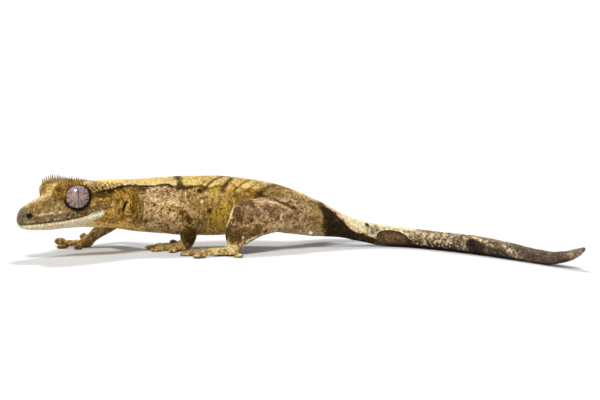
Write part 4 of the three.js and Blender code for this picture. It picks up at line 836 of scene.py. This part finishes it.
# ------------------------------------------------------------------ materials
def hide_material(name, rough, bump, bump_size, tint=(1, 1, 1)):
    mat = bpy.data.materials.new(name)
    mat.use_nodes = True
    nt = mat.node_tree
    bs = nt.nodes["Principled BSDF"]
    col = nt.nodes.new("ShaderNodeAttribute"); col.attribute_name = "Col"
    tc = nt.nodes.new("ShaderNodeTexCoord")
    n1 = nt.nodes.new("ShaderNodeTexNoise"); n1.inputs["Scale"].default_value = 1400; n1.inputs["Detail"].default_value = 3
    n2 = nt.nodes.new("ShaderNodeTexNoise"); n2.inputs["Scale"].default_value = 420; n2.inputs["Detail"].default_value = 4
    vo = nt.nodes.new("ShaderNodeTexVoronoi"); vo.inputs["Scale"].default_value = bump_size
    for n in (n1, n2, vo):
        nt.links.new(tc.outputs["Object"], n.inputs["Vector"])
    mr = nt.nodes.new("ShaderNodeMapRange"); mr.inputs[1].default_value, mr.inputs[2].default_value, mr.inputs[3].default_value, mr.inputs[4].default_value = 0.3, 0.7, 0.8, 1.2
    nt.links.new(n1.outputs["Fac"], mr.inputs[0])
    mul = nt.nodes.new("ShaderNodeVectorMath"); mul.operation = "SCALE"
    nt.links.new(col.outputs["Color"], mul.inputs[0])
    nt.links.new(mr.outputs[0], mul.inputs["Scale"])
    nt.links.new(mul.outputs[0], bs.inputs["Base Color"])
    rr = nt.nodes.new("ShaderNodeMapRange"); rr.inputs[1].default_value, rr.inputs[2].default_value, rr.inputs[3].default_value, rr.inputs[4].default_value = 0.3, 0.7, rough - 0.08, rough + 0.1
    nt.links.new(n2.outputs["Fac"], rr.inputs[0])
    nt.links.new(rr.outputs[0], bs.inputs["Roughness"])
    bp = nt.nodes.new("ShaderNodeBump"); bp.inputs["Strength"].default_value = bump; bp.inputs["Distance"].default_value = 0.00008
    nt.links.new(vo.outputs["Distance"], bp.inputs["Height"])
    nt.links.new(bp.outputs["Normal"], bs.inputs["Normal"])
    bs.inputs["Specular IOR Level"].default_value = 0.12
    bs.inputs["Subsurface Weight"].default_value = 0.0
    return mat


hide = hide_material("gecko_skin", 0.72, 0.5, 3200)
scale_mat = hide_material("gecko_scales", 0.6, 0.25, 5200)
spine_mat = hide_material("gecko_spines", 0.48, 0.2, 4200)
claw_mat = hide_material("gecko_claws", 0.3, 0.15, 3000)

skin_col, place = paint(verts)
skin = make_mesh("gecko_skin", verts, quads, skin_col * 0.6)
skin.data.materials.append(hide)

# ------------------------------------------------------------------ scales
rnd = np.random.RandomState(5)
HEX = np.arange(6) * math.pi / 3
DOME = np.array([[math.cos(a), math.sin(a), -0.35] for a in HEX] + [[0.66 * math.cos(a + math.pi / 6), 0.66 * math.sin(a + math.pi / 6), 0.72] for a in HEX] + [[0, 0, 1.0]])
DOME_F = np.array([(i, (i + 1) % 6, 6 + i) for i in range(6)] + [((i + 1) % 6, 6 + (i + 1) % 6, 6 + i) for i in range(6)] + [(6 + i, 6 + (i + 1) % 6, 12) for i in range(6)])


def domes(P, n, r, h, colours, uv0, along_dir=None, stretch=1.0, lean=0.0):
    """Small domes joined in one mesh; r and h are arrays."""
    N_ = len(P)
    ref = along_dir if along_dir is not None else rnd.randn(N_, 3)
    t1 = ref - (ref * n).sum(1, keepdims=True) * n
    t1 /= np.linalg.norm(t1, axis=1, keepdims=True) + 1e-9
    t2 = np.cross(n, t1)
    rx, ry = (r * stretch)[:, None], r[:, None]
    V = P[:, None, :] + DOME[None, :, 0, None] * (t1 * rx)[:, None, :] + DOME[None, :, 1, None] * (t2 * ry)[:, None, :] + DOME[None, :, 2, None] * (n * h[:, None])[:, None, :]
    V = V + (DOME[None, :, 2, None] > 0.9) * (t1 * (lean * r)[:, None])[:, None, :]
    F = DOME_F[None] + (np.arange(N_) * 13)[:, None, None]
    # Painted shade and painted highlight: each dome's sunk base ring is darkened and its top lightened.
    shade = np.where(DOME[:, 2] < 0, 0.62, np.where(DOME[:, 2] < 0.9, 1.0, 1.1))
    C = soft((colours[:, None, :] * shade[None, :, None]).reshape(-1, 3)).reshape(N_, 13, 3)
    U = uv0[:, None, :] + DOME[None, :, :2] * 0.0015
    return V.reshape(-1, 3), F.reshape(-1, 3), C.reshape(-1, 3), U.reshape(-1, 2)


qs, qo, qdeg, qout = body_place(verts[quads].mean(1))
qw, qdist, qt, qang = limb_place(verts[quads].mean(1))
limb_face = qout > 0.55
headf = (qs < 28) & ~limb_face
parts = []
K = 1.0
for keep, dist_, hh, seed in ((headf, 0.34, 0.36, 3), (~headf & ~limb_face, 0.385, 0.36, 4), (limb_face, 0.34, 0.36, 5)):
    P, n = scatter(verts, quads, keep, dist_ * K, seed)
    parts.append((P, n, np.full(len(P), dist_ * K), np.full(len(P), hh)))
P = np.concatenate([p[0] for p in parts]); n = np.concatenate([p[1] for p in parts])
size = np.concatenate([p[2] for p in parts]); hk = np.concatenate([p[3] for p in parts])
ok = (P[:, 2] > 0.12) & (np.minimum(*[np.linalg.norm(P - c, axis=1) for c, _ in EYES.values()]) > 3.62)
P, n, size, hk = P[ok], n[ok], size[ok], hk[ok]
col, (s, o, deg, out, which, t, ang) = paint(P)
edge = np.interp(s, [b[0] for b in BORDER], [b[1] for b in BORDER])
crest = smooth(15, 18, s) * smooth(33, 28, s) * smooth(edge - 4, edge + 2, deg) * smooth(edge + 34, edge + 22, deg)
r = size * 0.56 * (1 + 0.12 * rnd.randn(len(P)).clip(-2, 2)) * (1 + 0.35 * crest)
h = r * hk * 1.15 * (1 + 0.9 * crest)
col = col * (1 + 0.2 * rnd.randn(len(P)).clip(-2, 2))[:, None]
uv0 = unwrap(s, o, deg, out > 0.55, which, t, ang)
back = at(20) - at(19)
flow = np.tile(back, (len(P), 1)) + UP * 0.35
print("SCALES", len(P), flush=True)
V, F, C, U = domes(P, n, r, h, col, uv0)
per = 11000
for i in range(0, len(P), per):
    j = min(i + per, len(P))
    ob = make_mesh("scales_%d" % (i // per + 1), V[i * 13:j * 13], F[i * 18:j * 18] - i * 13, C[i * 13:j * 13], U[i * 13:j * 13])
    ob.data.materials.append(scale_mat)
    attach(ob, "root")


# ------------------------------------------------------------------ lip shields, spines, spurs, claws
def sample(Q):
    """The field at points, in mm."""
    g = np.clip((Q - LOW) / STEP, 0, N - 1.001)
    i = np.clip(np.floor(g).astype(int), 0, N - 2)
    f = g - i
    out = 0
    for dx in (0, 1):
        for dy in (0, 1):
            for dz in (0, 1):
                out = out + (f[:, 0] if dx else 1 - f[:, 0]) * (f[:, 1] if dy else 1 - f[:, 1]) * (f[:, 2] if dz else 1 - f[:, 2]) * D[i[:, 0] + dx, i[:, 1] + dy, i[:, 2] + dz]
    return out


def drop(a, b):
    """The first point of the skin on the way from a to b, and the normal there."""
    a, b = np.asarray(a, float), np.asarray(b, float)
    ts = np.linspace(0, 1, 160)
    v = sample(a + ts[:, None] * (b - a))
    if not (v < 0).any():
        return None, None
    i = int(np.argmax(v < 0))
    p = a + ts[i] * (b - a)
    e = 0.25
    g = np.array([sample(np.array([p + e * k]))[0] - sample(np.array([p - e * k]))[0] for k in np.eye(3)])
    return p, g / (np.linalg.norm(g) + 1e-9)


LP, LN, LD, LR = [], [], [], []
for k in (1, -1):
    for up_, off, size_, end in ((1, 0.62, 0.52, 21.5), (-1, -0.6, 0.5, 20.5)):
        q = 0.9
        while q < end:
            zc = float(np.interp(q, MOUTH[:, 0], MOUTH[:, 1])) + off
            p, g = drop(at(q, k * 12, zc), at(q, 0, zc))
            sz = size_ * (1 - 0.35 * q / end)
            if p is not None:
                LP.append(p); LN.append(g); LD.append(at(q + 0.5, k * 8, zc + 0.12) - at(q - 0.5, k * 8, zc)); LR.append(sz)
            q += 2 * sz * (0.96 if q > 3 else 0.62)
LP, LN, LD, LR = map(np.array, (LP, LN, LD, LR))
lc_, lp_ = paint(LP)
lc_ = lc_ * (1 + 0.12 * rnd.randn(len(LP)))[:, None]
V, F, C, U = domes(LP, LN, LR, np.full(len(LP), 0.13), lc_, unwrap(lp_[0], lp_[1], lp_[2], lp_[3] > 9, lp_[4], lp_[5], lp_[6]), along_dir=LD, stretch=1.1)
lips = make_mesh("lip_shields", V, F, C, U)
lips.data.materials.append(scale_mat)
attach(lips, "root")


def cones(bases, dirs, lengths, radii, bends, rings=5, sides=7):
    """Curved cones: base, direction, length, radius, and the way the tip bends."""
    Vs, Fs, k0 = [], [], 0
    for b, d, L, r_, bend in zip(bases, dirs, lengths, radii, bends):
        d = d / np.linalg.norm(d)
        e1 = np.cross(d, UP if abs(d[2]) < 0.9 else FORWARD); e1 /= np.linalg.norm(e1)
        e2 = np.cross(d, e1)
        for i in range(rings):
            u = i / rings
            c = b + d * L * (u - 0.15) + bend * L * u * u
            rr = r_ * (1 - u) ** 0.8
            for j in range(sides):
                a = 2 * math.pi * j / sides
                Vs.append(c + e1 * rr * math.cos(a) + e2 * rr * math.sin(a))
        Vs.append(b + d * L * 0.85 + bend * L)
        for i in range(rings - 1):
            for j in range(sides):
                a_, b_ = k0 + i * sides + j, k0 + i * sides + (j + 1) % sides
                Fs.append((a_, a_ + sides, b_)); Fs.append((b_, a_ + sides, b_ + sides))
        for j in range(sides):
            Fs.append((k0 + (rings - 1) * sides + j, k0 + rings * sides, k0 + (rings - 1) * sides + (j + 1) % sides))
        for j in range(1, sides - 1):
            Fs.append((k0, k0 + j, k0 + j + 1))
        k0 += rings * sides + 1
    return np.array(Vs), np.array(Fs)


bases, dirs, lens, rads, bends, cc = [], [], [], [], [], []
bs_, bo_, bz_ = BROW[:, 0], BROW[:, 1], BROW[:, 2]
for k in (1, -1):
    q, i = 8.9, 0
    while q < 45:
        if q < 26.4:
            oo, zz = np.interp(q, bs_, bo_), np.interp(q, bs_, bz_)
        else:
            w_, top_, bot_, mid_, _, _ = [float(v_) for v_ in section(np.array([q]))]
            e_ = math.radians(np.interp(q, [b[0] for b in BORDER], [b[1] for b in BORDER]) + 4)
            oo, zz = w_ * math.cos(e_), mid_ + (top_ - mid_) * math.sin(e_)
        p, g = drop(at(q, k * (oo + 1.6), zz + 3.2), at(q, k * (oo - 1.2), zz - 2.4))
        if p is None:
            q += 0.5
            continue
        lash = math.exp(-((q - 11.6) / 4.2) ** 2)
        L = (0.4 + 1.5 * lash) * (0.78 + 0.34 * abs(math.sin(2.1 * i + (0.6 if k < 0 else 0)))) if q < 20 else 0.42 * smooth(46, 30, q) + 0.16
        lean = g * 0.5 + UP * 0.7 + LEFT * k * 0.28 + FORWARD * (0.12 * math.sin(1.7 * i + k) - (0.35 if q > 20 else 0))
        bases.append(p - g * 0.08); dirs.append(lean); lens.append(float(L)); rads.append(0.27 if q < 20 else 0.22); bends.append(UP * 0.1 - FORWARD * (0.08 if q < 20 else 0.25))
        cc.append(p)
        if q < 20 and i % 2 == 0:  # a second, shorter row outside the first
            p2, g2 = drop(at(q + 0.3, k * (oo + 3.4), zz + 2.2), at(q + 0.3, k * (oo - 1.0), zz - 1.2))
            if p2 is not None:
                bases.append(p2 - g2 * 0.08); dirs.append(g2 + UP * 0.5); lens.append(0.38); rads.append(0.18); bends.append(UP * 0.1); cc.append(p2)
        q += 0.62 if q < 20 else (0.7 if q < 30 else 0.85)
        i += 1
for k in (1, -1):  # spurs beside the vent
    for ds in (0.0,):
        p, g = drop(at(83.2, k * 8, 3.0), at(83.2, 0, 5.2))
        bases.append(p); dirs.append(g + (at(84) - at(83)) * 0.6); lens.append(0.95); rads.append(0.8); bends.append(UP * 0.15); cc.append(p)
Vs, Fs = cones(bases, dirs, lens, rads, bends)
pc, pl = paint(np.array(cc))
pc = pc * 0.6 + rgb(176, 128, 66) * 0.4
pc[:-2] *= np.where(np.array(lens[:-2])[:, None] > 0.7, 0.55, 0.85)
pc[-2:] = rgb(244, 236, 214)
C = np.repeat(pc, 36, axis=0)
uv0 = unwrap(pl[0], pl[1], pl[2], pl[3] > 9, pl[4], pl[5], pl[6])
loc = np.tile(np.array([[math.cos(2 * math.pi * j / 7) * (1 - i / 5), math.sin(2 * math.pi * j / 7) * (1 - i / 5)] for i in range(5) for j in range(7)] + [[0, 0]]), (len(cc), 1))
spines = make_mesh("crest_spines", Vs, Fs, C, np.repeat(uv0, 36, axis=0) + loc * 0.0015)
spines.data.materials.append(spine_mat)
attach(spines, "root")

Vs, Fs = cones([c[0] - c[1] / np.linalg.norm(c[1]) * 0.25 for c in CLAWS], [c[1] for c in CLAWS], [c[2] for c in CLAWS], [0.2] * len(CLAWS), [UP * -0.18] * len(CLAWS), rings=6, sides=8)
Vs[:, 2] = np.maximum(Vs[:, 2], 0.03)
claws = make_mesh("claws", Vs, Fs, np.tile(rgb(74, 54, 34), (len(Vs), 1)))
claws.data.materials.append(claw_mat)
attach(claws, "root")


# ------------------------------------------------------------------ eyes
def eye_mesh(name, c, axis, k):
    rings, seg = ((130, 200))
    e2 = UP - axis * (UP @ axis); e2 /= np.linalg.norm(e2)
    e1 = np.cross(e2, axis)
    th = np.concatenate([[0], np.linspace(0.012, math.pi * 0.62, rings)])
    V = [c + axis * (EYE_R + 0.1)]
    XY = [(0.0, 0.0)]
    for a in th[1:]:
        rr = EYE_R + 0.1 * math.exp(-(a / 0.8) ** 2)
        for j in range(seg):
            p = 2 * math.pi * j / seg
            V.append(c + axis * rr * math.cos(a) + (e1 * math.cos(p) + e2 * math.sin(p)) * rr * math.sin(a))
            XY.append((EYE_R * math.sin(a) * math.cos(p) if a < math.pi / 2 else EYE_R * 1.05 * math.cos(p), EYE_R * math.sin(a) * math.sin(p) if a < math.pi / 2 else EYE_R * 1.05 * math.sin(p)))
    V = np.array(V); XY = np.array(XY)
    F = [(0, 1 + j, 1 + (j + 1) % seg) for j in range(seg)]
    for i in range(rings - 1):
        for j in range(seg):
            a_, b_ = 1 + i * seg + j, 1 + i * seg + (j + 1) % seg
            F.append((a_, a_ + seg, b_ + seg)); F.append((a_, b_ + seg, b_))
    # close the back
    last = 1 + (rings - 1) * seg
    V = np.concatenate([V, [c - axis * EYE_R * 0.75]]); XY = np.concatenate([XY, [(0, 9)]])
    for j in range(seg):
        F.append((last + j, len(V) - 1, last + (j + 1) % seg))
    x, y = XY[:, 0], XY[:, 1]
    r = np.hypot(x, y); a = np.arctan2(y, x)
    pol = np.stack([np.cos(a) * 6.0, np.sin(a) * 6.0, r * 0.9], 1)
    net = np.abs(noise(pol, 0.42, 31)) + 0.5 * np.abs(noise(np.stack([x, y, 0 * x], 1), 0.34, 32))
    vein = smooth(0.3, 0.06, net)
    radial = np.abs(noise(np.stack([np.cos(a) * 6, np.sin(a) * 6, r * 0.3], 1), 0.56, 33))
    fine = np.abs(noise(np.stack([np.cos(a) * 6, np.sin(a) * 6, r * 0.22], 1), 0.36, 34))
    vein = np.maximum(vein * 0.8, smooth(0.2, 0.04, radial) * smooth(0.3, 1.0, r) * 0.9)
    vein = np.maximum(vein, smooth(0.2, 0.03, fine) * smooth(1.2, 2.2, r) * 0.8)
    col = np.tile(rgb(158, 132, 120), (len(V), 1))
    # Painted reflection: the upper part of the iris is lightened to a pale lilac haze.
    col = lay(col, smooth(0.4, 2.6, y) * 0.7, (176, 158, 172))
    col = lay(col, smooth(0.2, -2.2, y) * 0.5, (164, 140, 120))
    col = lay(col, smooth(1.4, 0.2, np.abs(x)) * smooth(2.6, 1.5, r) * 0.25, (146, 112, 78))
    # Painted reflection: the veins fade towards the top under the same haze.
    col = lay(col, vein * (0.95 - 0.3 * smooth(0.8, 2.4, y)), (46, 28, 30))
    half = 0.03 + 0.05 * np.abs(np.sin(y * 3.3 + 0.7)) + 0.03 * np.cos(y * 1.1)
    slit = smooth(half + 0.06, half, np.abs(x + 0.03 * np.sin(y * 4))) * np.interp(y, [-2.4, -2.0, -0.7, -0.4, 1.4, 1.8], [0, 0.35, 0.45, 0.9, 0.9, 0])
    col = lay(col, smooth(half + 0.22, half, np.abs(x)) * smooth(2.4, 2.0, np.abs(y)) * 0.45, (84, 56, 50))
    col = lay(col, slit, (14, 8, 10))
    col = lay(col, smooth(2.98, 3.16, r) * 0.85, (48, 28, 26))
    col = lay(col, smooth(3.14, 3.24, r), (22, 12, 12))
    ob = make_mesh(name, V, F, np.clip(col, 0, 1))
    mat = bpy.data.materials.get("gecko_eye")
    if mat is None:
        mat = bpy.data.materials.new("gecko_eye"); mat.use_nodes = True
        nt = mat.node_tree; b = nt.nodes["Principled BSDF"]
        at_ = nt.nodes.new("ShaderNodeAttribute"); at_.attribute_name = "Col"
        tc = nt.nodes.new("ShaderNodeTexCoord"); nz = nt.nodes.new("ShaderNodeTexNoise")
        nz.inputs["Scale"].default_value = 5200; nz.inputs["Detail"].default_value = 3
        nt.links.new(tc.outputs["Object"], nz.inputs["Vector"])
        mr = nt.nodes.new("ShaderNodeMapRange"); mr.inputs[1].default_value, mr.inputs[2].default_value, mr.inputs[3].default_value, mr.inputs[4].default_value = 0.3, 0.7, 0.78, 1.2
        nt.links.new(nz.outputs["Fac"], mr.inputs[0])
        mu = nt.nodes.new("ShaderNodeVectorMath"); mu.operation = "SCALE"
        nt.links.new(at_.outputs["Color"], mu.inputs[0]); nt.links.new(mr.outputs[0], mu.inputs["Scale"])
        nt.links.new(mu.outputs[0], b.inputs["Base Color"])
        b.inputs["Roughness"].default_value = 0.16
        b.inputs["Coat Weight"].default_value = 1.0
        b.inputs["Coat Roughness"].default_value = 0.03
        b.inputs["IOR"].default_value = 1.4
    ob.data.materials.append(mat)
    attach(ob, "root")
    return ob


for nm, k in (("left", 1), ("right", -1)):
    ob = eye_mesh("eyeball_" + nm, EYES[nm][0], EYES[nm][1], k)
    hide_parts("eye_" + nm)

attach(skin, "root")
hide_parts(*[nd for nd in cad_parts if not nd.startswith("eye_")])

# ------------------------------------------------------------------ floor, light, camera
mat = bpy.data.materials.new("studio_floor"); mat.use_nodes = True
b = mat.node_tree.nodes["Principled BSDF"]
b.inputs["Base Color"].default_value = (0.625, 0.623, 0.628, 1); b.inputs["Roughness"].default_value = 0.6; b.inputs["Specular IOR Level"].default_value = 0.2
me = bpy.data.meshes.new("studio_floor")
me.from_pydata([(-6, -6, 0), (6, -6, 0), (6, 6, 0), (-6, 6, 0)], [], [(0, 1, 2, 3)]); me.update()
floor = bpy.data.objects.new("studio_floor", me); bpy.context.scene.collection.objects.link(floor)
me.materials.append(mat)

wd = bpy.data.worlds.new("studio"); bpy.context.scene.world = wd; wd.use_nodes = True
wt = wd.node_tree
bg = wt.nodes["Background"]
bg.inputs["Color"].default_value = (1, 1, 1, 1)
# a white wall all round the studio, and a dimmer ceiling
way, part, up_ = wt.nodes.new("ShaderNodeTexCoord"), wt.nodes.new("ShaderNodeSeparateXYZ"), wt.nodes.new("ShaderNodeMapRange")
up_.interpolation_type = "SMOOTHSTEP"
up_.inputs[1].default_value, up_.inputs[2].default_value, up_.inputs[3].default_value, up_.inputs[4].default_value = 0.2, 0.5, 1.03, 0.26
wt.links.new(way.outputs["Generated"], part.inputs[0]); wt.links.new(part.outputs["Z"], up_.inputs[0]); wt.links.new(up_.outputs[0], bg.inputs["Strength"])


def area(name, loc, target, size, power, colour=(1, 1, 1)):
    L = bpy.data.lights.new(name, "AREA"); L.size = size; L.energy = power; L.color = colour
    ob = bpy.data.objects.new(name, L); bpy.context.scene.collection.objects.link(ob)
    d = np.array(target) - np.array(loc)
    ob.location = loc
    ob.rotation_euler = mathutils.Vector(d).to_track_quat("-Z", "Y").to_euler()
    return ob


for nm, way_, power, wide in (("key", (-0.46, 0.05, -1.0), 2.8, 22), ("back", (0.775, 0.03, -1.0), 2.0, 8)):
    sun = bpy.data.lights.new(nm, "SUN"); sun.energy = power; sun.angle = math.radians(wide)
    so = bpy.data.objects.new(nm, sun); bpy.context.scene.collection.objects.link(so)
    so.location = -np.array(way_) * 0.6
    so.rotation_euler = mathutils.Vector(way_).to_track_quat("-Z", "Y").to_euler()
area("front", (0.85, -0.35, 0.35), (0, 0, 0.01), 0.7, 1.4)

cam = bpy.data.cameras.new("camera"); cam.lens = 57.0; cam.sensor_width = 36.0; cam.clip_start = 0.01; cam.clip_end = 20
co = bpy.data.objects.new("camera", cam); bpy.context.scene.collection.objects.link(co)
co.location = ((270 - ORIGIN[0]) / 1000, (0 - ORIGIN[1]) / 1000, 0.034)
co.rotation_euler = (math.radians(90) - math.atan((200 - 128.4) / 950), 0, math.radians(90))
bpy.context.scene.camera = co
bpy.context.scene.view_settings.view_transform = "Standard"
